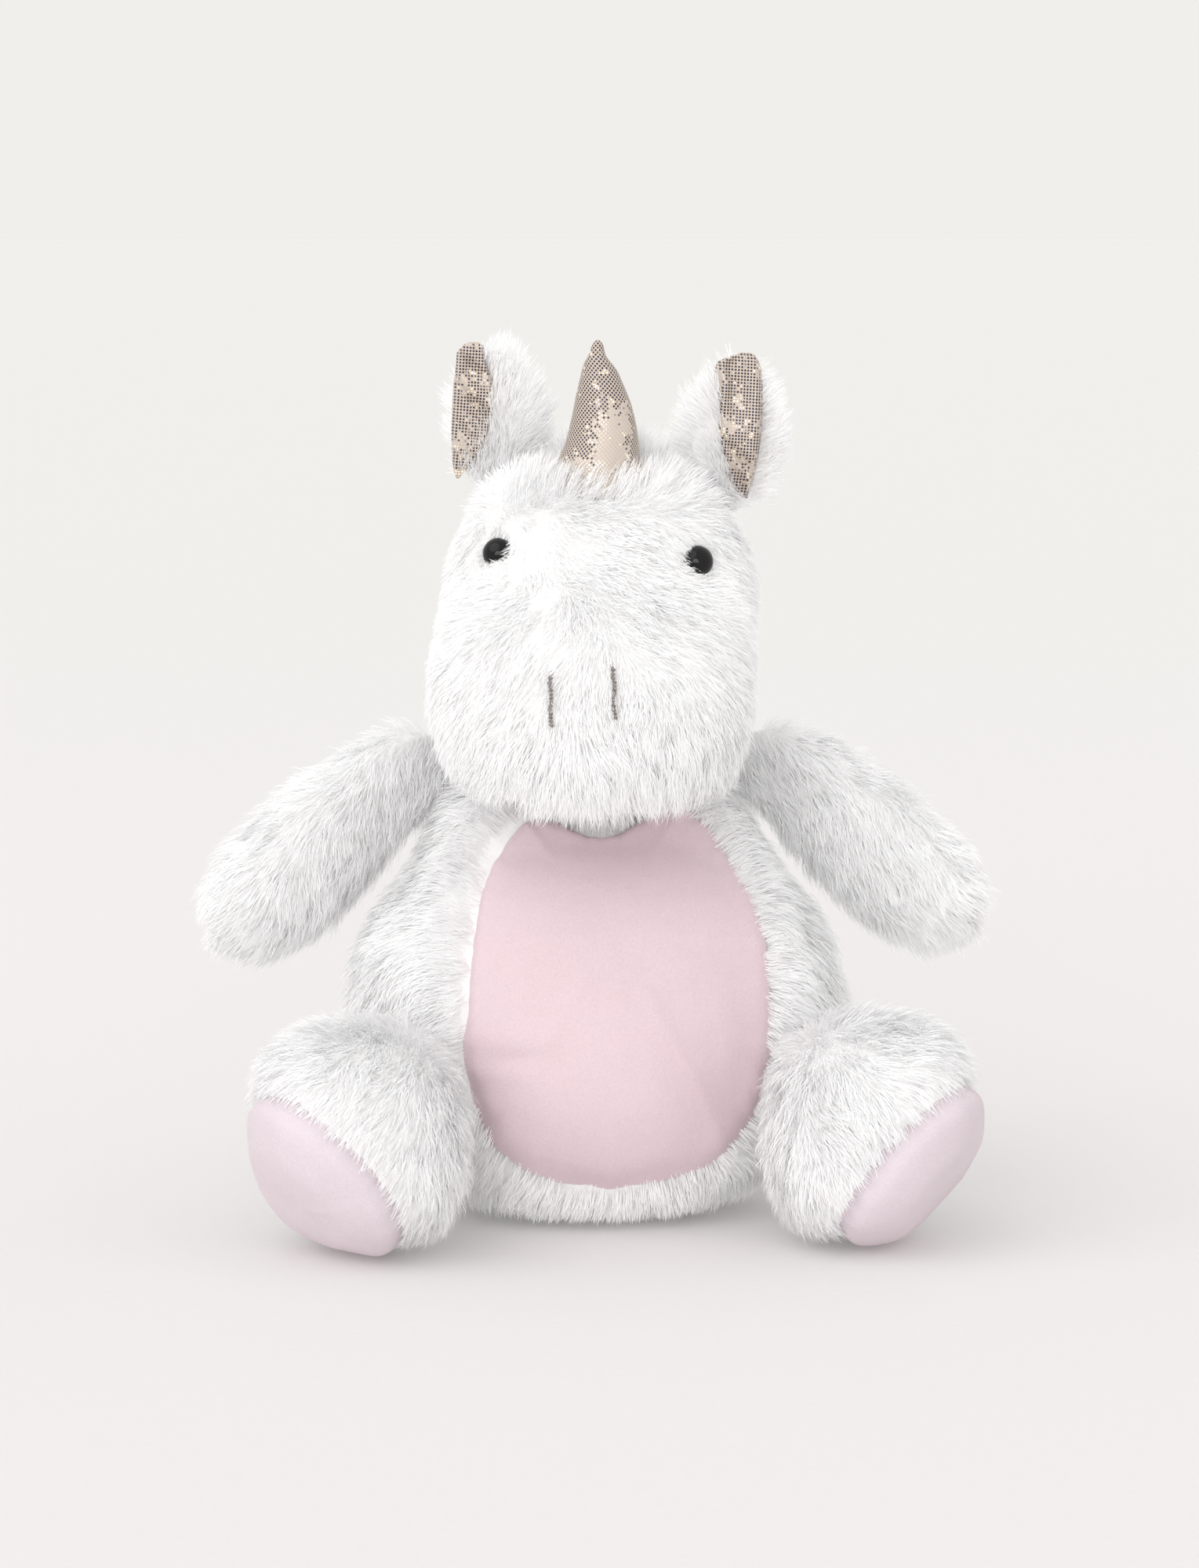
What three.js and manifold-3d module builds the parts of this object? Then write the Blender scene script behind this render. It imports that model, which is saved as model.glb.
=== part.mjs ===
// A seated plush unicorn, built the way a soft-toy factory sews and stuffs one.
//
// Millimetres, +Z up. The toy faces -Y, and "left" is the -X side. It sits on its seat panel
// and both feet, on the plane z = 0. Every outer panel is a closed shell as thick as the
// fabric with its pile. Panels that are sewn together stand a hair apart at the seam, and the
// fibre filling inside is a solid of its own.

import * as THREE from 'three';
import { mergeVertices } from 'three/addons/utils/BufferGeometryUtils.js';
import Module from 'manifold-3d';

const wasm = await Module();
wasm.setup();

// ---------------------------------------------------------------- driving dimensions

const PLUSH = 7; // backing and brushed pile of the white fur fabric
const VELOUR = 2.4; // short-pile fabric of the belly and the soles
const PILE_STEP = 4.2; // how far the velour belly lies below the tips of the fur around it
const FOIL = 0.9; // foil-dotted fabric of the horn and the ear linings
const FIT = 0.35; // air between two pieces that touch in the real toy
const SLACK = 3.1; // between a faceted skin and the fibre filling that presses against it
const SEAM = THREE.MathUtils.degToRad(0.8); // angle left open between two sewn panels

const TORSO_CENTRE = new THREE.Vector3(0, 10, 78);
const BELLY_LOBE = { at: [0, 4, 62], size: [84, 57, 68], power: 2.1 };
const PAUNCH_LOBE = { at: [0, -6, 44], size: [57, 56, 52], power: 2.2 }; // sags between the legs
const CHEST_LOBE = { at: [0, 22, 100], size: [54, 38, 60], power: 2.8 };

const NECK = new THREE.Vector3(0, 10, 152); // where the head turns and nods
const NECK_AXIS = new THREE.Vector3(0, -0.39, 0.92).normalize();
const NECK_RADIUS = 20;
const NECK_HOLE = 21; // radius of the opening that the neck's filling passes
const NECK_OPENING = 2.4; // clear of the neck's own plane, on the head side and the torso side
const NECK_FLARE = THREE.MathUtils.degToRad(6); // the clearance widens away from the neck
const HEAD_TURN = THREE.MathUtils.degToRad(-9); // the head rests turned a little to one side

const HEAD_CENTRE = new THREE.Vector3(0, -14, 187);
const CRANIUM_LOBE = { at: [0, -2, 202], size: [52, 44, 40], power: 2.8 };
const MUZZLE_LOBE = { at: [0, -35, 169], size: [52, 41, 40.5], power: 2.4 };
const GUSSET_HALF = THREE.MathUtils.degToRad(25); // half the angle of the band over the head

const EYE = { x: 40.5, y: -41, z: 223, skew: 1.3, radius: 5, dome: 4, rim: 0.8 };
const SHANK = { radius: 1.6, length: 13 }; // the post behind the eye that the washer grips
const WASHER = { radius: 8, thickness: 1.6, top: -4.5 }; // top: below the back of the dome
const NOSTRILS = {
  left: { x: -11, low: 162.5, high: 180 },
  right: { x: 10, low: 166.5, high: 184 },
};
const THREAD = 0.9; // radius of the stitched nostril thread
const THREAD_DEPTH = 1.4; // of its middle, below the tips of the fur

const HORN = { x: -2.5, y: -10, pivot: 248, base: 241, height: 42, radius: 14.3 };
const HORN_FOOT = 15.6; // radius of the round foot of the horn's filling
const HORN_SOCKET = 16.9; // radius of the room for it in the crown of the head
const HORN_FILLED = 0.93; // share of the horn's height that the filling reaches
const EAR = { x: 38.5, y: 8, bottom: 236.5, height: 46, half: 19.5, depth: 8.5, recess: 1.2 };
// The mane: degrees to each side of the crest, from the nape up to the horn.
const MANE = { half: 15, from: -105, to: -16, pile: 12.5, gap: 0.9 };

const ARM = { root: [51.2, 21, 154], angle: 41.5, forward: 13, length: 101, half: 22, depth: 16 };
const LEG_CENTRE = new THREE.Vector3(81, -67, 37);
const LEG_LOBE = { at: [81, -67, 37], size: [36, 38, 38], power: 2.5 };
const HIP_NORMAL = new THREE.Vector3(-0.752, 0.659, 0); // from the foot's middle to the hip seam
const HIP_DEPTH = 34;
const SOLE_NORMAL = new THREE.Vector3(0.68, -0.43, -0.59).normalize();
const SOLE_DEPTH = 32; // from the foot's middle to the crown of the sole
const SOLE_ANGLE = THREE.MathUtils.degToRad(66);

const LABEL = { reach: 16, thickness: 0.8, height: 14 };
const TAIL_CENTRE = new THREE.Vector3(0, 75, 36);
const CENTRE_SHIFT = 8.5; // brings the middle of the toy's box onto the origin

// ---------------------------------------------------------------- materials

function material(color, roughness) {
  return new THREE.MeshStandardMaterial({ color, roughness, metalness: 0 });
}

const FUR = material(0xf6f5f4, 0.95);
const PINK = material(0xf2dde2, 0.85);
const FOIL_FABRIC = new THREE.MeshStandardMaterial({ color: 0xdfcbb4, roughness: 0.35, metalness: 0.6 });
const BLACK = material(0x0b0b0c, 0.12);
const WHITE_NYLON = material(0xe9e9e4, 0.5);
const FIBRE = material(0xf4f4f2, 1);
const GREY_THREAD = material(0x8d8582, 0.6);
const WHITE_THREAD = material(0xf2f2ef, 0.8);
const COTTON = material(0xe6e0d2, 0.9);
const PELLETS = material(0xdedad2, 0.7);
const RIBBON = material(0xf7f7f7, 0.6);

// ---------------------------------------------------------------- soft bodies

const vector = (numbers) => new THREE.Vector3(...numbers);
const radians = THREE.MathUtils.degToRad;

// How far a ray from inside a superellipsoid travels before it leaves it.
function exitDistance(lobe, origin, direction) {
  const beyond = (t) => ['x', 'y', 'z'].reduce((sum, axis, k) => {
    const offset = origin[axis] + direction[axis] * t - lobe.at[k];
    return sum + Math.abs(offset / lobe.size[k]) ** lobe.power;
  }, -1);
  let near = 0;
  let far = 400;
  for (let step = 0; step < 40; step += 1) {
    const middle = (near + far) / 2;
    if (beyond(middle) > 0) far = middle;
    else near = middle;
  }
  return far;
}

// A stuffed form: seen from its centre, the surface is the smooth outline of its lobes,
// cut off by flats. A flat is { normal, distance } from the centre, sharp or soft.
class SoftBody {
  constructor({ centre, lobes, flats = [], blend = 14 }) {
    Object.assign(this, { centre, lobes, flats, blend });
  }

  reach(direction) {
    const outline = this.lobes.reduce(
      (sum, lobe) => sum + exitDistance(lobe, this.centre, direction) ** this.blend, 0);
    let distance = outline ** (1 / this.blend);
    for (const flat of this.flats) {
      const toward = direction.dot(flat.normal);
      if (toward <= 0.02) continue;
      const limit = flat.distance / toward;
      distance = flat.soft
        ? (distance ** -flat.soft + limit ** -flat.soft) ** (-1 / flat.soft)
        : Math.min(distance, limit);
    }
    return distance;
  }

  // Outward normal of the surface, from two neighbouring points.
  normal(direction) {
    const step = 1e-3;
    const oblique = new THREE.Vector3(direction.y, direction.z, direction.x);
    const side = oblique.cross(direction).normalize();
    const other = new THREE.Vector3().crossVectors(direction, side);
    const here = this.point(direction);
    const slope = (toward) => {
      const nearby = direction.clone().addScaledVector(toward, step).normalize();
      return this.point(nearby).sub(here);
    };
    return slope(side).cross(slope(other)).normalize();
  }

  point(direction, depth = 0) {
    return direction.clone().multiplyScalar(this.reach(direction) - depth).add(this.centre);
  }
}

// Directions are given by a polar angle from an axis and an azimuth from a zero direction.
function compass(axis, zero) {
  const w = axis.clone().normalize();
  const u = zero.clone().addScaledVector(w, -zero.dot(w)).normalize();
  const v = new THREE.Vector3().crossVectors(w, u);
  return (polar, azimuth) => new THREE.Vector3()
    .addScaledVector(u, Math.sin(polar) * Math.cos(azimuth))
    .addScaledVector(v, Math.sin(polar) * Math.sin(azimuth))
    .addScaledVector(w, Math.cos(polar));
}

const UPRIGHT = compass(new THREE.Vector3(0, 0, 1), new THREE.Vector3(0, -1, 0));
const SIDEWAYS = compass(new THREE.Vector3(1, 0, 0), new THREE.Vector3(0, 0, 1));

// Joins equal corners, drops triangles that have no area and returns an indexed geometry.
function closedGeometry(corners) {
  const raw = new THREE.BufferGeometry();
  const numbers = corners.flatMap((p) => p.toArray());
  raw.setAttribute('position', new THREE.Float32BufferAttribute(numbers, 3));
  const merged = mergeVertices(raw, 1e-4);
  const index = Array.from(merged.index.array);
  const kept = [];
  for (let i = 0; i < index.length; i += 3) {
    const [a, b, c] = index.slice(i, i + 3);
    if (a !== b && b !== c && c !== a) kept.push(a, b, c);
  }
  merged.setIndex(kept);
  return merged;
}

function addQuad(corners, a, b, c, d) {
  corners.push(a, b, c, a, c, d);
}

// The grid of directions that a patch covers, as rows of polar angle.
function patchDirections(look, { polar, azimuth, rows, columns }) {
  const grid = [];
  for (let i = 0; i <= rows; i += 1) {
    const angle = THREE.MathUtils.lerp(polar[0], polar[1], i / rows);
    const [from, to] = typeof azimuth === 'function' ? azimuth(angle) : azimuth;
    grid.push(Array.from({ length: columns + 1 },
      (_, j) => look(angle, THREE.MathUtils.lerp(from, to, j / columns))));
  }
  return grid;
}

// A panel: the part of a body's skin that a patch covers, between two depths.
function panel(body, look, patch, outer, inner) {
  const grid = patchDirections(look, patch);
  const layer = (depth) => grid.map((row) => row.map((direction) => body.point(direction, depth)));
  const out = layer(outer);
  const into = layer(inner);
  const corners = [];
  const { rows, columns } = patch;
  for (let i = 0; i < rows; i += 1) {
    for (let j = 0; j < columns; j += 1) {
      addQuad(corners, out[i][j], out[i + 1][j], out[i + 1][j + 1], out[i][j + 1]);
      addQuad(corners, into[i][j], into[i][j + 1], into[i + 1][j + 1], into[i + 1][j]);
    }
  }
  const wraps = out[rows][0].distanceTo(out[rows][columns]) < 1e-6
    && out[1][0].distanceTo(out[1][columns]) < 1e-6;
  for (let i = 0; i < rows && !wraps; i += 1) {
    addQuad(corners, out[i][0], into[i][0], into[i + 1][0], out[i + 1][0]);
    addQuad(corners, out[i][columns], out[i + 1][columns], into[i + 1][columns], into[i][columns]);
  }
  for (let j = 0; j < columns; j += 1) {
    addQuad(corners, out[0][j], out[0][j + 1], into[0][j + 1], into[0][j]);
    addQuad(corners, out[rows][j], into[rows][j], into[rows][j + 1], out[rows][j + 1]);
  }
  return closedGeometry(corners);
}

// The whole body as one solid, its surface a given depth below the body's own.
function filling(body, look, depth, rows, columns) {
  const grid = patchDirections(look, { polar: [0, Math.PI], azimuth: [0, 2 * Math.PI], rows, columns });
  const points = grid.map((row) => row.map((direction) => body.point(direction, depth)));
  const corners = [];
  for (let i = 0; i < rows; i += 1) {
    for (let j = 0; j < columns; j += 1) {
      addQuad(corners, points[i][j], points[i + 1][j], points[i + 1][j + 1], points[i][j + 1]);
    }
  }
  return closedGeometry(corners);
}

// ---------------------------------------------------------------- cutting

function toSolid(geometry) {
  const bare = new THREE.BufferGeometry();
  bare.setAttribute('position', geometry.getAttribute('position').clone());
  if (geometry.index) bare.setIndex(geometry.index.clone());
  const merged = mergeVertices(bare, 1e-4);
  return new wasm.Manifold(new wasm.Mesh({
    numProp: 3,
    vertProperties: new Float32Array(merged.getAttribute('position').array),
    triVerts: new Uint32Array(merged.index.array),
  }));
}

// Cuts tools out of a piece and keeps the largest part of what is left.
function cut(geometry, ...tools) {
  const solid = tools.reduce((rest, tool) => rest.subtract(toSolid(tool)), toSolid(geometry));
  const larger = (one, other) => (other.volume() > one.volume() ? other : one);
  const largest = solid.decompose().reduce(larger);
  const mesh = largest.getMesh();
  const result = new THREE.BufferGeometry();
  const positions = new Float32Array(mesh.vertProperties);
  result.setAttribute('position', new THREE.BufferAttribute(positions, 3));
  result.setIndex(new THREE.BufferAttribute(new Uint32Array(mesh.triVerts), 1));
  return result;
}

// A turned shape: pairs of radius and height, from the axis or back to the start.
function turned(profile, segments) {
  const points = profile.map(([radius, height]) => new THREE.Vector2(radius, height));
  const lathe = new THREE.LatheGeometry(points, segments);
  lathe.rotateX(Math.PI / 2); // the lathe's own axis is Y
  return lathe;
}

function pointedAlong(geometry, direction, at) {
  const turn = new THREE.Quaternion().setFromUnitVectors(new THREE.Vector3(0, 0, 1), direction);
  return geometry.applyQuaternion(turn).translate(at.x, at.y, at.z);
}

function ball(centre, radius, segments = 20) {
  const sphere = new THREE.SphereGeometry(radius, segments, segments * 0.6);
  return sphere.translate(centre.x, centre.y, centre.z);
}

function thread(points, radius, steps) {
  const circle = new THREE.Shape().absarc(0, 0, radius, 0, 2 * Math.PI, false);
  const extrudePath = new THREE.CatmullRomCurve3(points);
  const settings = { steps, curveSegments: 3, extrudePath, bevelEnabled: false };
  return new THREE.ExtrudeGeometry(circle, settings);
}

function named(name, geometry, look) {
  const mesh = new THREE.Mesh(geometry, look);
  mesh.name = name;
  return mesh;
}

// ---------------------------------------------------------------- neck clearance

// Everything on one side of a shallow cone around the neck: direction +1 is the head's side.
function neckRelief(direction) {
  const wide = 130;
  const far = 140;
  const rim = NECK_OPENING + wide * Math.tan(NECK_FLARE);
  const profile = [[0, -far], [wide, -far], [wide, rim], [0, NECK_OPENING]];
  return pointedAlong(turned(profile, 24), NECK_AXIS.clone().multiplyScalar(direction), NECK);
}

const headRelief = neckRelief(1); // what the head gives up to the torso
const torsoRelief = neckRelief(-1);
const neckHole = ball(NECK, NECK_HOLE, 16);

// ---------------------------------------------------------------- torso

const torsoBody = new SoftBody({
  centre: TORSO_CENTRE,
  lobes: [BELLY_LOBE, PAUNCH_LOBE, CHEST_LOBE],
  flats: [{ normal: new THREE.Vector3(0, 0, -1), distance: TORSO_CENTRE.z }],
});

const BELLY = { widest: 68, low: 12, high: 156, half: 51 }; // heights and half width of the panel
const TORSO_TOP = radians(17);
const SEAT_EDGE = radians(157);
const SIDE_SEAM = radians(96);

function bellyHalfWidth(height) {
  const below = height < BELLY.widest;
  const share = (height - BELLY.widest) / ((below ? BELLY.low : BELLY.high) - BELLY.widest);
  return share >= 1 ? 0 : BELLY.half * (1 - share ** (below ? 2.6 : 2.1)) ** 0.5;
}

// Azimuth at which a ring of the torso leaves the egg-shaped belly panel.
function bellyEdge(polar) {
  let inside = 0;
  let outside = Math.PI / 2;
  for (let step = 0; step < 30; step += 1) {
    const middle = (inside + outside) / 2;
    const at = torsoBody.point(UPRIGHT(polar, middle));
    if (Math.abs(at.x) < bellyHalfWidth(at.z)) inside = middle;
    else outside = middle;
  }
  return inside;
}

const BELLY_POLAR = [radians(24), radians(138)];

// The egg-shaped patch of the belly, widened on every side by an angle.
function bellyPatch(extra) {
  return {
    polar: [BELLY_POLAR[0] - extra, BELLY_POLAR[1] + extra],
    azimuth: (p) => [-bellyEdge(p) - extra, bellyEdge(p) + extra],
    rows: 12,
    columns: 8,
  };
}

function torsoPanels() {
  const front = { polar: [TORSO_TOP, SEAT_EDGE], rows: 11, columns: 7 };
  const back = { polar: [TORSO_TOP, SEAT_EDGE], rows: 10, columns: 6 };
  const opening = panel(torsoBody, UPRIGHT, bellyPatch(3 * SEAM), -4, PLUSH + 4);
  const fur = (patch, from, to) => (
    panel(torsoBody, UPRIGHT, { ...patch, azimuth: [from, to] }, 0, PLUSH));
  const right = fur(front, SEAM / 2, SIDE_SEAM - SEAM / 2);
  const left = fur(front, SEAM / 2 - SIDE_SEAM, -SEAM / 2);
  const backRight = fur(back, SIDE_SEAM + SEAM / 2, Math.PI - SEAM / 2);
  const backLeft = fur(back, Math.PI + SEAM / 2, 2 * Math.PI - SIDE_SEAM - SEAM / 2);
  const belly = panel(torsoBody, UPRIGHT, bellyPatch(0), PILE_STEP, PILE_STEP + VELOUR);
  const seat = panel(torsoBody, UPRIGHT,
    { polar: [SEAT_EDGE + SEAM, Math.PI], azimuth: [0, 2 * Math.PI], rows: 3, columns: 22 }, 0, PLUSH);
  return [
    named('torso_side_panel_left', cut(left, opening, torsoRelief, neckHole), FUR),
    named('torso_side_panel_right', cut(right, opening, torsoRelief, neckHole), FUR),
    named('torso_back_panel_left', cut(backLeft, torsoRelief, neckHole), FUR),
    named('torso_back_panel_right', cut(backRight, torsoRelief, neckHole), FUR),
    named('belly_panel', cut(belly, torsoRelief, neckHole), PINK),
    named('seat_panel', seat, FUR),
  ];
}

// A cotton bag of plastic pellets lies on the seat and keeps the toy upright.
function pelletBag() {
  const centre = new THREE.Vector3(0, 10, 28);
  const lobe = { at: centre.toArray(), size: [42, 30, 19], power: 2.3 };
  const bag = new SoftBody({ centre, lobes: [lobe] });
  const mouth = radians(14);
  const pouch = panel(bag, UPRIGHT,
    { polar: [mouth, Math.PI], azimuth: [0, 2 * Math.PI], rows: 6, columns: 14 }, 0, 1.2);
  const pellets = filling(bag, UPRIGHT, 2 + SLACK, 6, 14);
  const below = { at: [0, 10, 18], size: [38, 27, 25], power: 2.3 }; // the bag rests on the seat itself
  const hollow = new SoftBody({ centre, lobes: [lobe, below] });
  const room = filling(hollow, UPRIGHT, -SLACK, 8, 14);
  return { pouch, pellets, room };
}

function torsoInside() {
  const { pouch, pellets, room } = pelletBag();
  const fibre = filling(torsoBody, UPRIGHT, PLUSH + SLACK, 12, 18);
  return [
    named('torso_stuffing', cut(fibre, torsoRelief, neckHole, room), FIBRE),
    named('pellet_pouch', pouch, COTTON),
    named('pellet_fill', pellets, PELLETS),
  ];
}

// Hand stitches that close the back seam after stuffing, and the folded sewn-in tape.
function torsoTrim() {
  const seamPoints = [];
  for (let polar = 75; polar <= 115; polar += 8) {
    seamPoints.push(torsoBody.point(UPRIGHT(radians(polar), Math.PI), -1));
  }
  const outward = UPRIGHT(radians(122), -SIDE_SEAM);
  const tape = new THREE.BoxGeometry(LABEL.reach, LABEL.thickness, LABEL.height);
  const label = named('sewn_in_label', tape, RIBBON);
  label.position.copy(torsoBody.point(outward, -FIT - LABEL.reach * 0.72));
  label.rotation.z = Math.atan2(outward.y, outward.x);
  return [named('back_closing_stitches', thread(seamPoints, 0.6, 16), WHITE_THREAD), label];
}

// ---------------------------------------------------------------- neck

function neckPieces() {
  const fibre = ball(NECK, NECK_RADIUS, 16);
  const ring = new THREE.TorusGeometry(NECK_RADIUS + 1.8, 0.7, 5, 24);
  const above = NECK.clone().addScaledVector(NECK_AXIS, -1.2);
  return [
    named('neck_stuffing', fibre, FIBRE),
    named('neck_seam_thread', pointedAlong(ring, NECK_AXIS, above), WHITE_THREAD),
  ];
}

// ---------------------------------------------------------------- head

const headBody = new SoftBody({ centre: HEAD_CENTRE, lobes: [CRANIUM_LOBE, MUZZLE_LOBE], blend: 6 });

const hornSocket = ball(new THREE.Vector3(HORN.x, HORN.y, HORN.pivot), HORN_SOCKET, 16);

// The safety eye sits on the backing cloth, so its dome stays a little below the pile.
function eyePlace(side) {
  const near = new THREE.Vector3(side * EYE.x, EYE.y, EYE.z + side * EYE.skew);
  const rough = near.sub(HEAD_CENTRE).normalize();
  const surface = headBody.point(rough, PLUSH - 1.2);
  return { surface, outward: headBody.normal(rough) };
}

function eyeSolid() {
  const dome = Array.from({ length: 6 }, (_, k) => {
    const angle = radians(90 - 18 * k);
    return [Math.max(EYE.radius * Math.cos(angle), 0), EYE.dome * Math.sin(angle)];
  });
  const shank = [
    [EYE.radius, -EYE.rim],
    [SHANK.radius, -EYE.rim],
    [SHANK.radius, -SHANK.length],
    [0, -SHANK.length],
  ];
  return turned([...dome, ...shank].reverse(), 12);
}

// Room in the fabric for the dome and the shank, and in the filling for the washer.
function steppedRoom(narrow, wide, step) {
  const bottom = -20;
  const top = 12;
  return turned([[0, bottom], [narrow, bottom], [narrow, step], [wide, step], [wide, top], [0, top]], 12);
}

function eyeRoom() {
  return steppedRoom(SHANK.radius + FIT, EYE.radius + 2 * FIT, -EYE.rim - FIT);
}

function washerRoom() {
  return steppedRoom(SHANK.radius + 1, WASHER.radius + 2 * FIT, WASHER.top - WASHER.thickness - 3 * FIT);
}

function washerSolid() {
  const hole = SHANK.radius + FIT;
  const { radius, thickness, top } = WASHER;
  const bottom = top - thickness;
  return turned([[hole, bottom], [radius, bottom], [radius, top], [hole, top], [hole, bottom]], 12);
}

function nostrilThread(nostril, radius) {
  const points = Array.from({ length: 4 }, (_, k) => {
    const height = THREE.MathUtils.lerp(nostril.low, nostril.high, k / 3);
    const snout = new THREE.Vector3(nostril.x, -77, height);
    return headBody.point(snout.sub(HEAD_CENTRE).normalize(), THREAD_DEPTH);
  });
  return thread(points, radius, 8);
}

function headPanels() {
  const bandEdge = [Math.PI / 2 - GUSSET_HALF, Math.PI / 2 + GUSSET_HALF];
  const nape = radians(-118); // azimuth about X: 0 is up, 90 is forward
  const lip = radians(133);
  const eyeCut = (side) => {
    const { surface, outward } = eyePlace(side);
    return pointedAlong(eyeRoom(), outward, surface);
  };
  const cap = { azimuth: [0, 2 * Math.PI], rows: 4, columns: 20 };
  const right = panel(headBody, SIDEWAYS, { ...cap, polar: [0, bandEdge[0] - SEAM / 2] }, 0, PLUSH);
  const left = panel(headBody, SIDEWAYS, { ...cap, polar: [bandEdge[1] + SEAM / 2, Math.PI] }, 0, PLUSH);
  const band = { polar: [bandEdge[0] + SEAM / 2, bandEdge[1] - SEAM / 2], columns: 18, rows: 4 };
  const gusset = panel(headBody, SIDEWAYS, { ...band, azimuth: [nape, lip - SEAM] }, 0, PLUSH);
  const underside = { ...band, columns: 5, azimuth: [lip, radians(180)] };
  const chin = panel(headBody, SIDEWAYS, underside, 0, PLUSH);
  const grooves = Object.values(NOSTRILS).map((nostril) => nostrilThread(nostril, THREAD + 3 * FIT));
  return [
    named('head_side_panel_left', cut(left, eyeCut(-1), headRelief, neckHole), FUR),
    named('head_side_panel_right', cut(right, eyeCut(1), headRelief, neckHole), FUR),
    named('head_centre_gusset', cut(gusset, hornSocket, headRelief, neckHole, ...grooves), FUR),
    named('chin_gusset', cut(chin, headRelief, neckHole), FUR),
  ];
}

function facePieces() {
  const pieces = [];
  for (const [word, side] of [['left', -1], ['right', 1]]) {
    const { surface, outward } = eyePlace(side);
    pieces.push(named(`eye_${word}`, pointedAlong(eyeSolid(), outward, surface), BLACK));
    pieces.push(named(`eye_washer_${word}`, pointedAlong(washerSolid(), outward, surface), WHITE_NYLON));
    pieces.push(named(`nostril_stitch_${word}`, nostrilThread(NOSTRILS[word], THREAD), GREY_THREAD));
  }
  return pieces;
}

function headFilling() {
  const fibre = filling(headBody, SIDEWAYS, PLUSH + SLACK, 12, 18);
  const rooms = [-1, 1].map((side) => {
    const { surface, outward } = eyePlace(side);
    return pointedAlong(washerRoom(), outward, surface);
  });
  return named('head_stuffing', cut(fibre, ...rooms, hornSocket, headRelief, neckHole), FIBRE);
}

// A strip of long pile in the seam from behind the horn down to the nape.
function maneStrip() {
  const half = radians(MANE.half);
  const strip = panel(headBody, SIDEWAYS, {
    polar: [Math.PI / 2 - half, Math.PI / 2 + half],
    azimuth: [radians(MANE.from), radians(MANE.to)],
    rows: 4,
    columns: 12,
  }, -MANE.pile, -MANE.gap);
  return named('mane_strip', cut(strip, hornSocket), FUR);
}

// ---------------------------------------------------------------- horn

// Radius of the horn at a share of its height: a flared base, then a slow taper to a blunt tip.
function hornRadius(share) {
  return HORN.radius * (1 - share) ** 0.86 * (1 - 0.1 * Math.sin(Math.PI * share));
}

function hornPieces() {
  const steps = 7;
  const blunt = 0.985; // share of the height where the tip is folded flat
  const innerTop = HORN.base + HORN.height * HORN_FILLED;
  const outline = Array.from({ length: steps + 1 }, (_, k) => {
    const share = blunt * (k / steps);
    return [hornRadius(share), HORN.base + HORN.height * share];
  });
  const shrink = (by) => outline
    .filter(([, height]) => height < innerTop)
    .map(([radius, height]) => [Math.max(radius - by, THREAD), height]);
  const inside = shrink(FOIL).reverse();
  const tip = [0, HORN.base + HORN.height];
  const cover = turned([[0, innerTop + 2 * FIT], ...inside, ...outline, tip], 16);
  const fibre = shrink(FOIL + FIT);
  const bowl = [0, 0.5, 0.8].map((part) => {
    const radius = fibre[0][0] * part;
    return [radius, HORN.pivot - Math.sqrt(HORN_FOOT ** 2 - radius ** 2)];
  });
  const core = turned([...bowl, ...fibre, [0, innerTop]], 16);
  const centred = (geometry) => geometry.translate(HORN.x, HORN.y, 0);
  return [
    named('horn_cover', centred(cover), FOIL_FABRIC),
    named('horn_stuffing', centred(core), FIBRE),
  ];
}

// ---------------------------------------------------------------- ears

// Built for the +X side. The foil lining fills the outer half of the ear's front.
function earPieces(word) {
  const middle = EAR.bottom + EAR.height / 2;
  const waist = EAR.bottom + EAR.height * 0.38;
  const body = new SoftBody({
    centre: new THREE.Vector3(EAR.x, EAR.y, waist + 1),
    lobes: [
      { at: [EAR.x, EAR.y, waist], size: [EAR.half, EAR.depth, EAR.height * 0.38], power: 2.1 },
      { at: [EAR.x, EAR.y, middle], size: [EAR.half * 0.72, EAR.depth * 0.8, EAR.height / 2], power: 1.7 },
    ],
  });
  const region = (margin) => ({
    polar: [radians(10 - margin), radians(170 + margin)],
    azimuth: [radians(-18 - margin), radians(64 + margin)],
    rows: 7,
    columns: 4,
  });
  const recess = panel(body, UPRIGHT, region(1.5), -4, EAR.recess + FOIL + FIT);
  const back = cut(filling(body, UPRIGHT, 0, 10, 14), recess);
  const lining = panel(body, UPRIGHT, region(0), EAR.recess, EAR.recess + FOIL);
  return [
    named(`ear_back_${word}`, back, FUR),
    named(`ear_lining_${word}`, lining, FOIL_FABRIC),
  ];
}

// ---------------------------------------------------------------- arms

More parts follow.
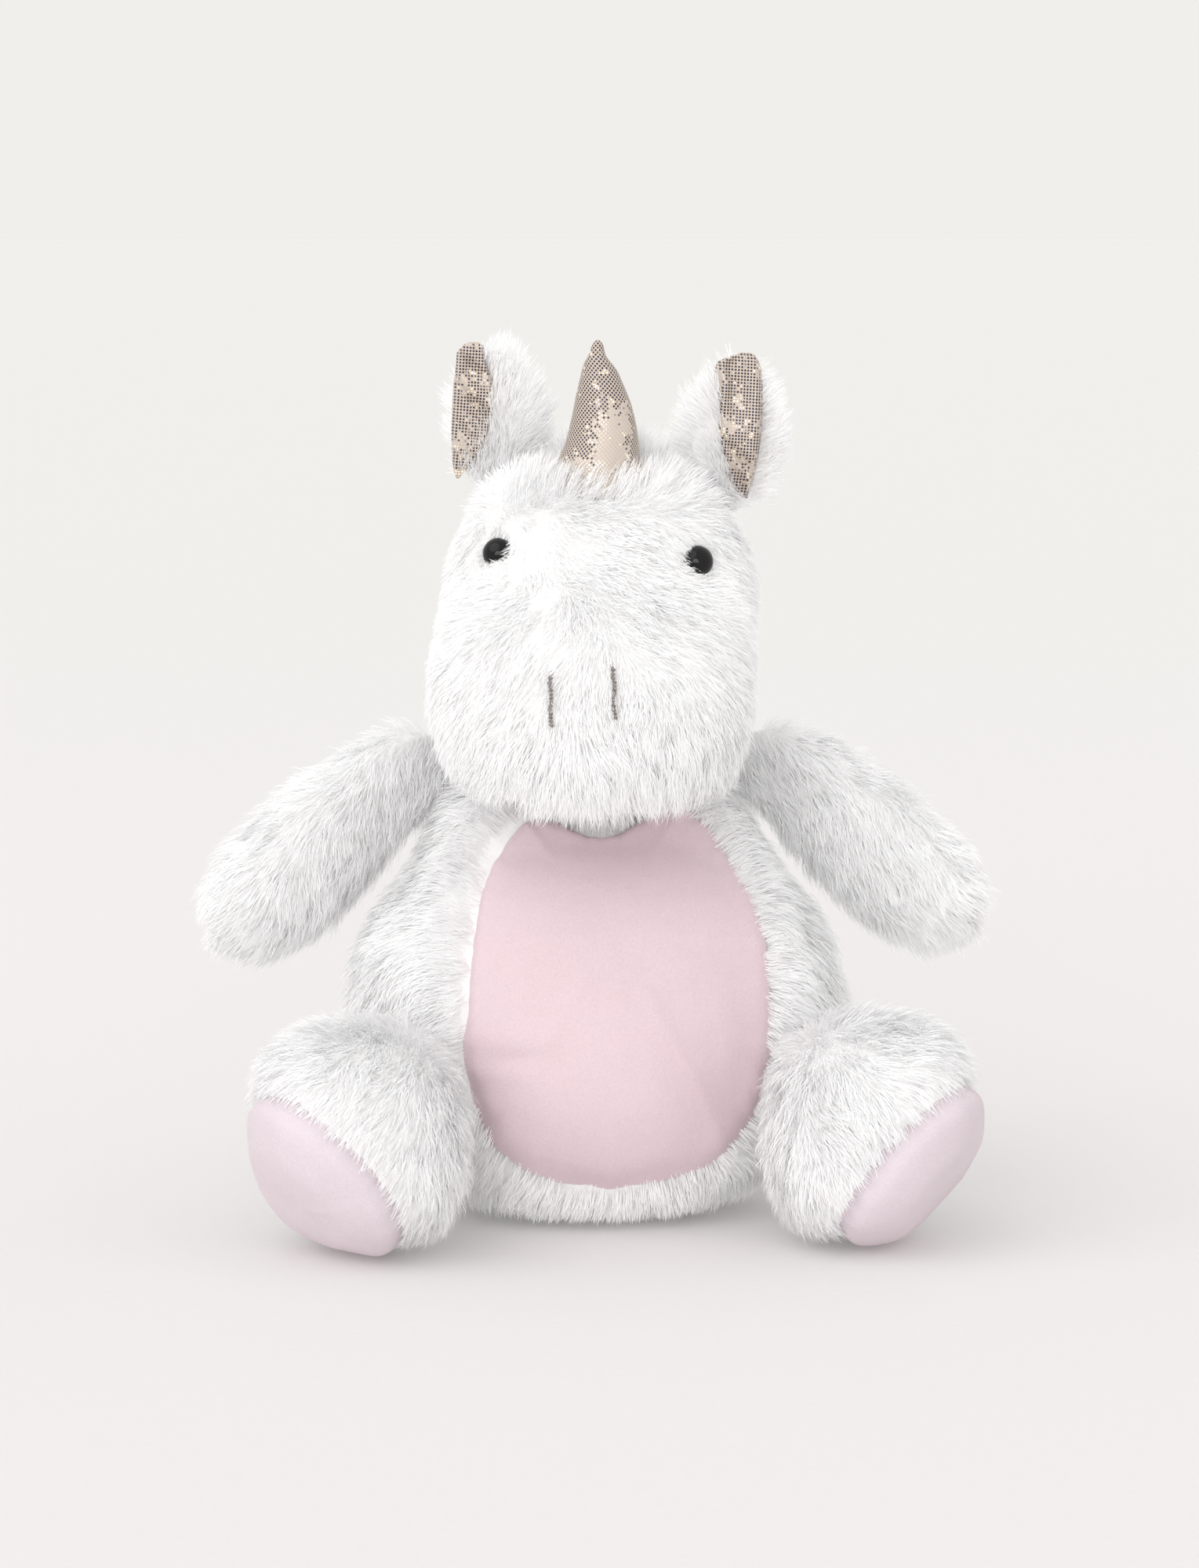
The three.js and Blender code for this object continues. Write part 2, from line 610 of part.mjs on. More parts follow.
// Built for the +X side, lying along its own axis, flat where it is sewn to the shoulder.
function armPieces(word) {
  const along = new THREE.Vector3(1, 0, 0)
    .applyAxisAngle(new THREE.Vector3(0, 1, 0), radians(ARM.angle))
    .applyAxisAngle(new THREE.Vector3(0, 0, 1), -radians(ARM.forward));
  const body = new SoftBody({
    centre: new THREE.Vector3(0, 0, ARM.length * 0.5),
    lobes: [
      { at: [0, 0, ARM.length * 0.62], size: [ARM.half, ARM.depth, ARM.length * 0.38], power: 2.4 },
      {
        at: [0, 0, ARM.length * 0.42],
        size: [ARM.half * 0.86, ARM.depth * 0.62, ARM.length * 0.42],
        power: 2.8,
      },
    ],
  });
  const lengthwise = compass(new THREE.Vector3(0, 0, 1), new THREE.Vector3(1, 0, 0));
  const cloth = PLUSH * 0.75;
  const half = (from) => panel(body, lengthwise, {
    polar: [0, Math.PI],
    azimuth: [from + SEAM, from + Math.PI - SEAM],
    rows: 9,
    columns: 7,
  }, 0, cloth);
  const fibre = filling(body, lengthwise, cloth + SLACK, 9, 12);
  const place = (geometry) => pointedAlong(geometry, along, vector(ARM.root));
  return [
    named(`arm_back_panel_${word}`, place(half(0)), FUR),
    named(`arm_front_panel_${word}`, place(half(Math.PI)), FUR),
    named(`arm_stuffing_${word}`, place(fibre), FIBRE),
  ];
}

// ---------------------------------------------------------------- legs

// Built for the +X side: a stubby foot whose velour sole looks outward, forward and down.
function legPieces(word) {
  const body = new SoftBody({
    centre: LEG_CENTRE,
    lobes: [LEG_LOBE],
    flats: [
      { normal: SOLE_NORMAL, distance: SOLE_DEPTH, soft: 14 },
      { normal: HIP_NORMAL, distance: HIP_DEPTH, soft: 12 },
      { normal: new THREE.Vector3(0, 0, -1), distance: LEG_CENTRE.z },
    ],
  });
  const look = compass(SOLE_NORMAL, new THREE.Vector3(0, 0, 1));
  const half = (from) => panel(body, look, {
    polar: [SOLE_ANGLE + SEAM, Math.PI],
    azimuth: [from + SEAM, from + Math.PI - SEAM],
    rows: 7,
    columns: 9,
  }, 0, PLUSH);
  const sole = panel(body, look,
    { polar: [0, SOLE_ANGLE], azimuth: [0, 2 * Math.PI], rows: 4, columns: 18 }, 0.6, PLUSH);
  const fibre = filling(body, look, PLUSH + SLACK, 10, 14);
  return [
    named(`leg_top_panel_${word}`, half(-Math.PI / 2), FUR),
    named(`leg_under_panel_${word}`, half(Math.PI / 2), FUR),
    named(`sole_pad_${word}`, sole, PINK),
    named(`leg_stuffing_${word}`, fibre, FIBRE),
  ];
}

// ---------------------------------------------------------------- tail

function tailTuft() {
  const body = new SoftBody({
    centre: TAIL_CENTRE,
    lobes: [{ at: TAIL_CENTRE.toArray(), size: [12, 13, 24], power: 2.2 }],
  });
  return named('tail_tuft', filling(body, UPRIGHT, 0, 9, 12), FUR);
}

// ---------------------------------------------------------------- assembly

function group(...children) {
  return new THREE.Group().add(...children);
}

// A pair of limbs: the same pieces on the +X side and, mirrored, on the -X side.
function pair(build) {
  const right = group(...build('right'));
  const left = group(...build('left'));
  left.scale.x = -1;
  return [left, right];
}

const torso = group(...torsoPanels(), ...torsoInside(), ...torsoTrim());
const neck = group(...neckPieces());
const headParts = group(...headPanels(), ...facePieces(), headFilling(), maneStrip());
headParts.add(...hornPieces(), ...pair(earPieces));
headParts.position.copy(NECK).negate();
const head = group(headParts);
head.position.copy(NECK);
head.setRotationFromAxisAngle(NECK_AXIS, HEAD_TURN);

const unicorn = group(torso, neck, head, ...pair(armPieces), ...pair(legPieces), tailTuft());
unicorn.position.y = CENTRE_SHIFT;

export default unicorn;
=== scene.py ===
"""A seated plush unicorn: brushed fur grown as real fibres on stuffed skins, velour belly and soles,
a creased horn and ear linings of foil-dotted satin, glossy eyes and embroidered nostrils.

Metres, +Z up, the toy faces -Y. "left" is the -X side. Places and sizes come from the CAD frame.
"""

import math

import bmesh
import bpy
import numpy as np
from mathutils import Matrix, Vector
from mathutils.bvhtree import BVHTree


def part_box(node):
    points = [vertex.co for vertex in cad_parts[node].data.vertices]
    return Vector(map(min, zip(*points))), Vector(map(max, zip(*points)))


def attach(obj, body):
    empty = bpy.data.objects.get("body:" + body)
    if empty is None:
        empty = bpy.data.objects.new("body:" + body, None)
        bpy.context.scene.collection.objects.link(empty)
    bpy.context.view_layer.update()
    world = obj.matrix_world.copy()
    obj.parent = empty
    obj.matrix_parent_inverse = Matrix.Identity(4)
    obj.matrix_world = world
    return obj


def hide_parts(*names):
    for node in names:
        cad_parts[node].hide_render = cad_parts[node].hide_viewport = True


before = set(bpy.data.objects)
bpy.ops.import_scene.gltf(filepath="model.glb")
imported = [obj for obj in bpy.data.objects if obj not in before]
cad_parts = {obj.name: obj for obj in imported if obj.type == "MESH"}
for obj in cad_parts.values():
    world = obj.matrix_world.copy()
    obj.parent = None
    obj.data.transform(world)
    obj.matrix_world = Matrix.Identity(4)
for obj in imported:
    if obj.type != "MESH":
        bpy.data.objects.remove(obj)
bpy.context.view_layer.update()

MM = 0.001
SIDES = ("left", "right")

# ---------------------------------------------------------------- small numpy helpers


def unit(v):
    return v / np.maximum(np.linalg.norm(v, axis=-1, keepdims=True), 1e-12)


def dot(a, b):
    return (a * b).sum(-1, keepdims=True)


def ramp(x, low, high):
    """0 below low, 1 above high, smooth between."""
    t = np.clip((x - low) / (high - low), 0, 1)
    return t * t * (3 - 2 * t)


def waves(points, seed, size, octaves=3):
    """Smooth, repeatable noise of about -1 to 1, whose bumps are about size across."""
    rng = np.random.default_rng(seed)
    total = np.zeros(len(points))
    weight = 1.0
    for octave in range(octaves):
        for _ in range(4):
            direction = unit(rng.normal(size=3)) * (2 * math.pi / size) * rng.uniform(0.6, 1.2)
            total += weight * 0.35 * np.sin(points @ direction * 2**octave + rng.uniform(0, 6.28))
        weight *= 0.55
    return total


def swung(a, b, angle):
    """Rows of a turned by an angle towards b."""
    return a * np.cos(angle)[:, None] + b * np.sin(angle)[:, None]


# ---------------------------------------------------------------- reading the CAD frame


def read(items, field, width=3, kind=float):
    """One field of a mesh's corners, edges or triangles, a row for each."""
    values = np.empty(len(items) * width, kind)
    items.foreach_get(field, values)
    return values.reshape(-1, width)


def box(name):
    """A node's lowest and highest corners."""
    return np.array(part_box(name))


def node_mesh(*names):
    """Corners and triangles of some CAD nodes together, and which node each triangle is of."""
    corners, triangles, owner = [], [], []
    start = 0
    for k, name in enumerate(names):
        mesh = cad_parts[name].data
        mesh.calc_loop_triangles()
        corners.append(read(mesh.vertices, "co"))
        triangles.append(read(mesh.loop_triangles, "vertices", kind=int) + start)
        owner.append(np.full(len(mesh.loop_triangles), k))
        start += len(mesh.vertices)
    return np.concatenate(corners), np.concatenate(triangles), np.concatenate(owner)


def tree_of(*names):
    corners, triangles, _ = node_mesh(*names)
    return BVHTree.FromPolygons(corners.tolist(), triangles.tolist())


def middle(*names):
    """Centre of the box round some CAD nodes."""
    boxes = np.array([box(name) for name in names])
    return (boxes[:, 0].min(0) + boxes[:, 1].max(0)) / 2


FAR = 0.3  # farther from any piece's centre than its outside


def reach(tree, centre, directions):
    """How far from centre the outside of the tree lies along each direction; 0 where it has none."""
    found = np.zeros(len(directions))
    for k, d in enumerate(directions):
        outward = Vector(d)
        hit = tree.ray_cast(Vector(centre) + outward * FAR, -outward, FAR)
        if hit[0] is not None:
            found[k] = FAR - hit[3]
    return found


def tilted(directions, angle, way):
    """Directions turned by an angle towards one of four ways round them."""
    side = unit(np.cross(directions, [0.31, 0.17, 0.93]))
    other = np.cross(directions, side)
    around = way * math.pi / 2
    return unit(directions + math.tan(angle) * (side * math.cos(around) + other * math.sin(around)))


def reach_over_seams(tree, centre, directions):
    """The reach, bridging the narrow gaps between the CAD panels."""
    distance = reach(tree, centre, directions)
    for way in range(4):
        distance = np.maximum(distance, reach(tree, centre, tilted(directions, 0.03, way)))
    return distance


# ---------------------------------------------------------------- meshes


def in_scene(name, data):
    obj = bpy.data.objects.new(name, data)
    bpy.context.scene.collection.objects.link(obj)
    return obj


def new_object(name, corners, faces):
    mesh = bpy.data.meshes.new(name)
    mesh.from_pydata(np.asarray(corners).tolist(), [], [list(map(int, f)) for f in faces])
    mesh.validate()
    mesh.polygons.foreach_set("use_smooth", np.ones(len(mesh.polygons), bool))
    mesh.update()
    return in_scene(name, mesh)


def points_of(obj):
    return read(obj.data.vertices, "co")


def set_points(obj, co):
    obj.data.vertices.foreach_set("co", np.asarray(co, float).ravel())
    obj.data.update()


def normals_of(obj):
    return read(obj.data.vertex_normals, "vector")


def tube_faces(rows, steps, base=0):
    """Quads of an open tube whose corners run ring by ring, steps to a ring."""
    def corner(r, k):
        return base + r * steps + k % steps

    return [(corner(r, k), corner(r, k + 1), corner(r + 1, k + 1), corner(r + 1, k))
            for r in range(rows) for k in range(steps)]


def edges_of(obj):
    return read(obj.data.edges, "vertices", 2, int)


def relaxed(values, edges, rounds, strength=0.5, held=None):
    """values on the corners, each drawn towards the mean of its neighbours."""
    values = np.array(values, float)
    count = np.zeros(len(values))
    np.add.at(count, edges[:, 0], 1)
    np.add.at(count, edges[:, 1], 1)
    count = np.maximum(count, 1).reshape((-1,) + (1,) * (values.ndim - 1))
    for _ in range(rounds):
        total = np.zeros_like(values)
        np.add.at(total, edges[:, 0], values[edges[:, 1]])
        np.add.at(total, edges[:, 1], values[edges[:, 0]])
        moved = values + strength * (total / count - values)
        if held is not None:
            moved[held] = values[held]
        values = moved
    return values


def applied(obj, modifier):
    """Makes a modifier's result the object's own mesh."""
    bpy.context.view_layer.objects.active = obj
    bpy.ops.object.modifier_apply(modifier=modifier.name)


def subdivided(obj, levels=1):
    modifier = obj.modifiers.new("fine", "SUBSURF")
    modifier.levels = levels
    modifier.render_levels = levels
    applied(obj, modifier)
    return obj


def inflate(obj, held, pressure=4.0, cap=4 * MM, frames=20):
    """Cloth simulation: the skin fills out under pressure while its held corners, the seams, stay.
    No corner moves farther than cap."""
    start = points_of(obj)
    group = obj.vertex_groups.new(name="seams")
    group.add([int(k) for k in np.flatnonzero(held)], 1.0, "REPLACE")
    cloth = obj.modifiers.new("fabric", "CLOTH")
    settings = cloth.settings
    settings.quality = 5
    settings.mass = 0.3
    settings.tension_stiffness = 25
    settings.compression_stiffness = 25
    settings.shear_stiffness = 8
    settings.bending_stiffness = 0.8
    settings.vertex_group_mass = group.name
    settings.use_pressure = True
    settings.uniform_pressure_force = pressure
    settings.effector_weights.gravity = 0
    cloth.collision_settings.use_collision = False
    cloth.point_cache.frame_start = 1
    cloth.point_cache.frame_end = frames
    scene = bpy.context.scene
    for number in range(1, frames + 1):
        scene.frame_set(number)
    shown = obj.evaluated_get(bpy.context.evaluated_depsgraph_get()).to_mesh()
    moved = read(shown.vertices, "co") - start
    length = np.linalg.norm(moved, axis=1, keepdims=True)
    moved *= np.minimum(1, cap / np.maximum(length, 1e-9))
    obj.modifiers.remove(cloth)
    obj.vertex_groups.remove(group)
    scene.frame_set(1)
    set_points(obj, start + np.nan_to_num(moved))
    return obj


# ---------------------------------------------------------------- materials


def material(name, color, roughness, **values):
    """A Principled material. Values are sockets of the shader, by name with _ for a space."""
    mat = bpy.data.materials.new(name)
    mat.use_nodes = True
    shader = mat.node_tree.nodes["Principled BSDF"]
    shader.inputs["Base Color"].default_value = (*color, 1)
    shader.inputs["Roughness"].default_value = roughness
    for key, value in values.items():
        shader.inputs[key.replace("_", " ")].default_value = value
    return mat, mat.node_tree, shader


def node(tree, kind, inputs=None, **settings):
    made = tree.nodes.new(kind)
    for key, value in settings.items():
        setattr(made, key, value)
    for key, value in (inputs or {}).items():
        if isinstance(value, bpy.types.NodeSocket):
            tree.links.new(value, made.inputs[key])
        else:
            made.inputs[key].default_value = value
    return made


def feed(tree, shader, **sources):
    """Links outputs to sockets of the shader, by name with _ for a space."""
    for key, source in sources.items():
        tree.links.new(source, shader.inputs[key.replace("_", " ")])


def maths(tree, operation, a, b=0.0):
    return node(tree, "ShaderNodeMath", {0: a, 1: b}, operation=operation).outputs[0]


def weighted(tree, *terms):
    """The sum of some values, each times its weight."""
    total = 0.0
    for value, weight in terms:
        inputs = {0: value, 1: weight, 2: total}
        total = node(tree, "ShaderNodeMath", inputs, operation="MULTIPLY_ADD").outputs[0]
    return total


def place(tree):
    return node(tree, "ShaderNodeTexCoord").outputs["Object"]


def noise(tree, scale, detail=3.0, vector=None, roughness=0.55):
    where = vector if vector is not None else place(tree)
    inputs = {"Vector": where, "Scale": scale, "Detail": detail, "Roughness": roughness}
    return node(tree, "ShaderNodeTexNoise", inputs).outputs[0]


def blended(tree, factor, a, b):
    """A colour between a and b."""
    ends = [end if isinstance(end, bpy.types.NodeSocket) else (*end, 1) for end in (a, b)]
    inputs = {0: factor, 6: ends[0], 7: ends[1]}
    return node(tree, "ShaderNodeMix", inputs, data_type="RGBA").outputs[2]


def spread(tree, value, low, high, to_low=0.0, to_high=1.0):
    inputs = {0: value, 1: low, 2: high, 3: to_low, 4: to_high}
    return node(tree, "ShaderNodeMapRange", inputs).outputs[0]


def bumped(tree, shader, height, strength, distance=1 * MM):
    inputs = {"Strength": strength, "Distance": distance, "Height": height}
    feed(tree, shader, Normal=node(tree, "ShaderNodeBump", inputs).outputs[0])


def fibre_material(name, color):
    """One fur fibre. Colours differ from tuft to tuft by material, so each stays constant."""
    mat, tree, shader = material(name, color, 0.62, Specular_IOR_Level=0.25, Sheen_Weight=0.25)
    feed(tree, shader, Roughness=spread(tree, noise(tree, 900.0, 2.0), 0.3, 0.7, 0.5, 0.78))
    return mat


FIBRES = [
    fibre_material("plush_fibre_white", (0.972, 0.972, 0.977)),
    fibre_material("plush_fibre_cool", (0.962, 0.966, 0.975)),
    fibre_material("plush_fibre_warm", (0.97, 0.963, 0.955)),
]


def backing_material():
    """The knitted backing under the pile: dense short fibre between the long ones."""
    mat, tree, shader = material("plush_backing", (0.93, 0.93, 0.93), 0.9, Sheen_Weight=0.3)
    clumps = noise(tree, 260.0, 4.0)
    color = blended(tree, spread(tree, clumps, 0.35, 0.65), (0.90, 0.89, 0.885), (0.95, 0.95, 0.95))
    feed(tree, shader, Base_Color=color)
    bumped(tree, shader, noise(tree, 1400.0, 5.0), 0.6, 0.6 * MM)
    return mat


def velour_material(name, paler):
    """Short pink pile: fine nap, strokes where it was brushed, and a soft sheen."""
    def tint(*color):
        return tuple(c + w * paler for c, w in zip(color, (-0.01, 0.05, 0.06)))

    mat, tree, shader = material(
        name, (0.70, 0.56, 0.60), 0.85, Sheen_Weight=0.3, Sheen_Roughness=0.45,
        Specular_IOR_Level=0.2)
    shader.inputs["Sheen Tint"].default_value = (1.0, 0.9, 0.92, 1)
    strokes = noise(tree, 34.0, 4.0, roughness=0.6)
    nap = noise(tree, 1500.0, 4.0, roughness=0.7)
    broad = blended(
        tree, spread(tree, strokes, 0.3, 0.7), tint(0.70, 0.55, 0.59), tint(0.75, 0.615, 0.65))
    fine = blended(
        tree, spread(tree, nap, 0.35, 0.65), tint(0.66, 0.51, 0.55), tint(0.79, 0.65, 0.685))
    feed(tree, shader, Base_Color=blended(tree, 0.4, broad, fine))
    height = weighted(tree, (nap, 1.0), (strokes, 0.6))
    bumped(tree, shader, height, 0.55, 0.35 * MM)
    return mat


def foil_material(name, turned, painted_pale_from, painted_pale_middle=False):
    """Beige satin printed with round mirror dots about 1 mm apart. The map UV is in millimetres.
    The reflections in the dots are painted into their colour: most get a painted dark reflection,
    those whose painted tone passes the third argument a painted pale one, and a few a painted
    bright gold glint. turned is the angle of the rows; the last argument paints pale reflections
    on the front and the hem."""
    mat, tree, shader = material(
        name, (0.66, 0.57, 0.48), 0.42, Sheen_Weight=0.15, Specular_IOR_Level=0.5)
    uv = node(tree, "ShaderNodeUVMap", uv_map="cloth").outputs[0]
    turn = node(tree, "ShaderNodeMapping", {"Vector": uv})
    turn.inputs["Rotation"].default_value = (0, 0, math.radians(turned))
    cell = node(tree, "ShaderNodeVectorMath", {0: turn.outputs[0]}, operation="FRACTION").outputs[0]
    centred = node(
        tree, "ShaderNodeVectorMath", {0: cell, 1: (0.5, 0.5, 0.0)}, operation="SUBTRACT").outputs[0]
    radius = node(tree, "ShaderNodeVectorMath", {0: centred}, operation="LENGTH").outputs[1]
    dots = spread(tree, radius, 0.38, 0.32)
    number = node(tree, "ShaderNodeVectorMath", {0: turn.outputs[0]}, operation="FLOOR").outputs[0]
    each = node(tree, "ShaderNodeTexWhiteNoise", {"Vector": number}).outputs[0]
    # Painted reflections: the dark, pale and gold colours of the dots stand in for what mirror dots
    # would reflect; these patches and each dot's own noise choose which.
    patches = noise(tree, 0.15, 2.0, vector=uv)
    painted_tone = weighted(tree, (patches, 0.7), (each, 0.12))
    if painted_pale_middle:
        # Painted pale reflections on the front of the horn and along its hem.
        parts = node(tree, "ShaderNodeSeparateXYZ", {0: uv})
        off_centre = maths(tree, "ABSOLUTE", maths(tree, "SUBTRACT", parts.outputs[0], 2.4))
        sides = spread(tree, off_centre, 4.0, 10.5, 1.0, 0.0)
        low = spread(tree, parts.outputs[1], 17.0, 27.0, 1.0, 0.0)
        hem = spread(tree, parts.outputs[1], 4.0, 7.5, 0.8, 0.0)
        pale = maths(tree, "MAXIMUM", maths(tree, "MULTIPLY", sides, low), hem)
        painted_tone = weighted(tree, (painted_tone, 0.75), (pale, 0.35), (each, 0.16))
    # Where the painted gold glints go: a few dots get a painted bright gold highlight.
    sparkle = weighted(tree, (noise(tree, 0.24, 2.0, vector=uv), 1.0), (each, 0.1))
    threads = noise(tree, 3.2, 3.0, vector=uv)
    satin = blended(tree, spread(tree, threads, 0.3, 0.7), (0.52, 0.42, 0.34), (0.64, 0.54, 0.46))
    # Painted pale reflection where the painted tone passes the threshold, painted dark reflection
    # elsewhere.
    painted_pale_dots = spread(tree, painted_tone, painted_pale_from, painted_pale_from + 0.04)
    painted_reflection = blended(tree, painted_pale_dots, (0.03, 0.035, 0.065), (0.64, 0.60, 0.56))
    painted_glint = blended(tree, spread(tree, sparkle, 0.68, 0.70), painted_reflection, (1.0, 0.93, 0.76))
    feed(tree, shader, Base_Color=blended(tree, dots, satin, painted_glint),
         Metallic=maths(tree, "MULTIPLY", dots, 0.4),
         Roughness=spread(tree, dots, 0.0, 1.0, 0.5, 0.3))
    bumped(tree, shader, weighted(tree, (dots, 1.0), (threads, 0.5)), 0.35, 0.1 * MM)
    return mat


def thread_material(name, dark, light, sparkle):
    mat, tree, shader = material(name, dark, 0.55, Specular_IOR_Level=0.5)
    grain = noise(tree, 2600.0, 3.0)
    color = blended(tree, spread(tree, grain, 0.38, 0.66), dark, light)
    feed(tree, shader, Base_Color=color,
         Metallic=spread(tree, grain, 0.55, 0.62, 0.0, sparkle))
    bumped(tree, shader, grain, 0.5, 0.2 * MM)
    return mat


def eye_material():
    mat, tree, shader = material(
        "eye_gloss", (0.003, 0.003, 0.004), 0.06, Specular_IOR_Level=0.32)
    feed(tree, shader, Roughness=spread(tree, noise(tree, 420.0, 3.0), 0.3, 0.8, 0.05, 0.12))
    return mat


def plain_cloth_material(name, low, high, scale, roughness=0.85):
    mat, tree, shader = material(name, high, roughness, Sheen_Weight=0.2)
    grain = noise(tree, scale, 4.0)
    color = blended(tree, spread(tree, grain, 0.35, 0.65), low, high)
    feed(tree, shader, Base_Color=color)
    bumped(tree, shader, grain, 0.5, 0.3 * MM)
    return mat


BACKING = backing_material()
VELOUR = velour_material("pink_velour", 0)
SOLE_VELOUR = velour_material("pink_velour_sole", 1)
# The third arguments are where the painted pale reflections begin; the horn also gets painted pale
# reflections on its front and hem.
HORN_FOIL = foil_material("foil_dots_horn", 45, 0.57, painted_pale_middle=True)
EAR_FOIL = foil_material("foil_dots_ear", 4, 0.44)
GREY_THREAD = thread_material("grey_thread", (0.13, 0.10, 0.09), (0.60, 0.56, 0.54), 0.6)
WHITE_THREAD = thread_material("white_thread", (0.80, 0.79, 0.77), (0.93, 0.93, 0.92), 0.0)
EYE_BLACK = eye_material()
NYLON = plain_cloth_material("nylon_washer", (0.80, 0.80, 0.77), (0.88, 0.88, 0.86), 300.0, 0.45)
COTTON = plain_cloth_material("pouch_cotton", (0.72, 0.68, 0.60), (0.84, 0.80, 0.72), 900.0)
BEADS = plain_cloth_material("pellets", (0.70, 0.69, 0.66), (0.84, 0.83, 0.80), 420.0, 0.5)
RIBBON = plain_cloth_material("label_ribbon", (0.90, 0.90, 0.90), (0.96, 0.96, 0.96), 1600.0, 0.5)


def wear(obj, *materials):
    obj.data.materials.clear()
    for mat in materials:
        obj.data.materials.append(mat)
    return obj


def recoloured(name, mat):
    """A CAD node that stays keeps its mesh and gets a better material."""
    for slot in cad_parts[name].material_slots:
        slot.material = mat


def declared(obj, mat, slot, body, *stands_for, fill=None):
    """Gives a piece its material, hides the CAD nodes it stands for, and rides it on its body. slot
    is not used.
    """
    wear(obj, mat)
    if stands_for:
        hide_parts(*stands_for)
    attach(obj, body)
    return obj


# ---------------------------------------------------------------- stuffed skins


def sphere_points(level):
    """Corners and faces of an even sphere."""
    ball = bmesh.new()
    bmesh.ops.create_icosphere(ball, subdivisions=level, radius=1.0)
    corners = np.array([v.co for v in ball.verts])
    faces = [[v.index for v in f.verts] for f in ball.faces]
    ball.free()
    return unit(corners), faces


def main_axes(points):
    """Principal directions of a cloud of points, longest first, and the half sizes along them."""
    centred = points - points.mean(0)
    _, vectors = np.linalg.eigh(centred.T @ centred)
    axes = vectors.T[::-1]
    axes = axes * np.sign(np.linalg.det(axes))  # right-handed, so that faces look outward
    spans = centred @ axes.T
    return axes, (spans.max(0) - spans.min(0)) / 2


def skin(name, nodes, depth, level, smooth=5, pull=None, shallow=None, cap=2.2 * MM):
    """A closed skin a little inside the outer faces of some CAD nodes, filled out like a stuffed
    form, and its centre. The seams are where one node meets the next, and they stay a little lower
    than the rest. shallow is a node and the smaller depth below it; pull(points) bends the skin."""
    tree = tree_of(*nodes)
    owner = node_mesh(*nodes)[2]
    stuffing = [n for n in nodes if "stuffing" in n] or nodes
    core = node_mesh(*stuffing)[0]
    centre = (core.max(0) + core.min(0)) / 2
    axes, half = main_axes(core)
    sphere, faces = sphere_points(level)
    directions = unit((sphere * half) @ axes)
    distance = reach_over_seams(tree, centre, directions)
    label = np.zeros(len(directions), int)
    for k, d in enumerate(directions):
        hit = tree.ray_cast(Vector(centre) + Vector(d) * FAR, -Vector(d), FAR)
        if hit[2] is not None:
            label[k] = owner[hit[2]]
    obj = new_object(name, centre + directions * distance[:, None], faces)
    edges = edges_of(obj)
    distance = relaxed(distance, edges, smooth)
    set_points(obj, centre + directions * distance[:, None])
    outer = points_of(obj)
    below = np.full(len(directions), depth)
    if shallow is not None:
        below[label == nodes.index(shallow[0])] = shallow[1]
        below = relaxed(below, edges, 6)
    inner = outer - normals_of(obj) * below[:, None]
    inner = relaxed(inner, edges, 2)
    meets = label[edges[:, 0]] != label[edges[:, 1]]
    seam = np.zeros(len(directions), bool)
    seam[edges[meets].ravel()] = True
    inner -= normals_of(obj) * (seam[:, None] * 0.7 * MM)
    if pull is not None:
        inner = pull(inner)
    set_points(obj, inner)
    inflate(obj, seam, cap=cap)
    set_points(obj, relaxed(points_of(obj), edges, 2))
    return subdivided(obj), centre


def covers(tree, centre, points):
    """True for the points that lie behind the tree's faces, seen from centre."""
    found = np.zeros(len(points), bool)
    origin = Vector(centre)
    for k, d in enumerate(unit(points - centre)):
        found[k] = tree.ray_cast(origin, Vector(d), 0.4)[0] is not None
    return found


# ---------------------------------------------------------------- patches of cloth


def disc(rings):
    """An even disc: unit polar coordinates of its corners, and its triangles."""
    polar = [(0.0, 0.0)]
    starts = [0]
    for ring in range(1, rings + 1):
        starts.append(len(polar))
        polar += [(ring / rings, 2 * math.pi * k / (6 * ring)) for k in range(6 * ring)]
    faces = []
    for ring in range(1, rings + 1):
        outer = lambda k, r=ring: starts[r] + k % (6 * r)
        inner = lambda k, r=ring: starts[r - 1] + (k % (6 * (r - 1)) if r > 1 else 0)
        for sector in range(6):
            for k in range(ring):
                a = sector * ring + k
                b = sector * (ring - 1) + k
                faces.append((outer(a), outer(a + 1), inner(b)))
                if k < ring - 1:
                    faces.append((outer(a + 1), inner(b + 1), inner(b)))
    return np.array(polar), faces


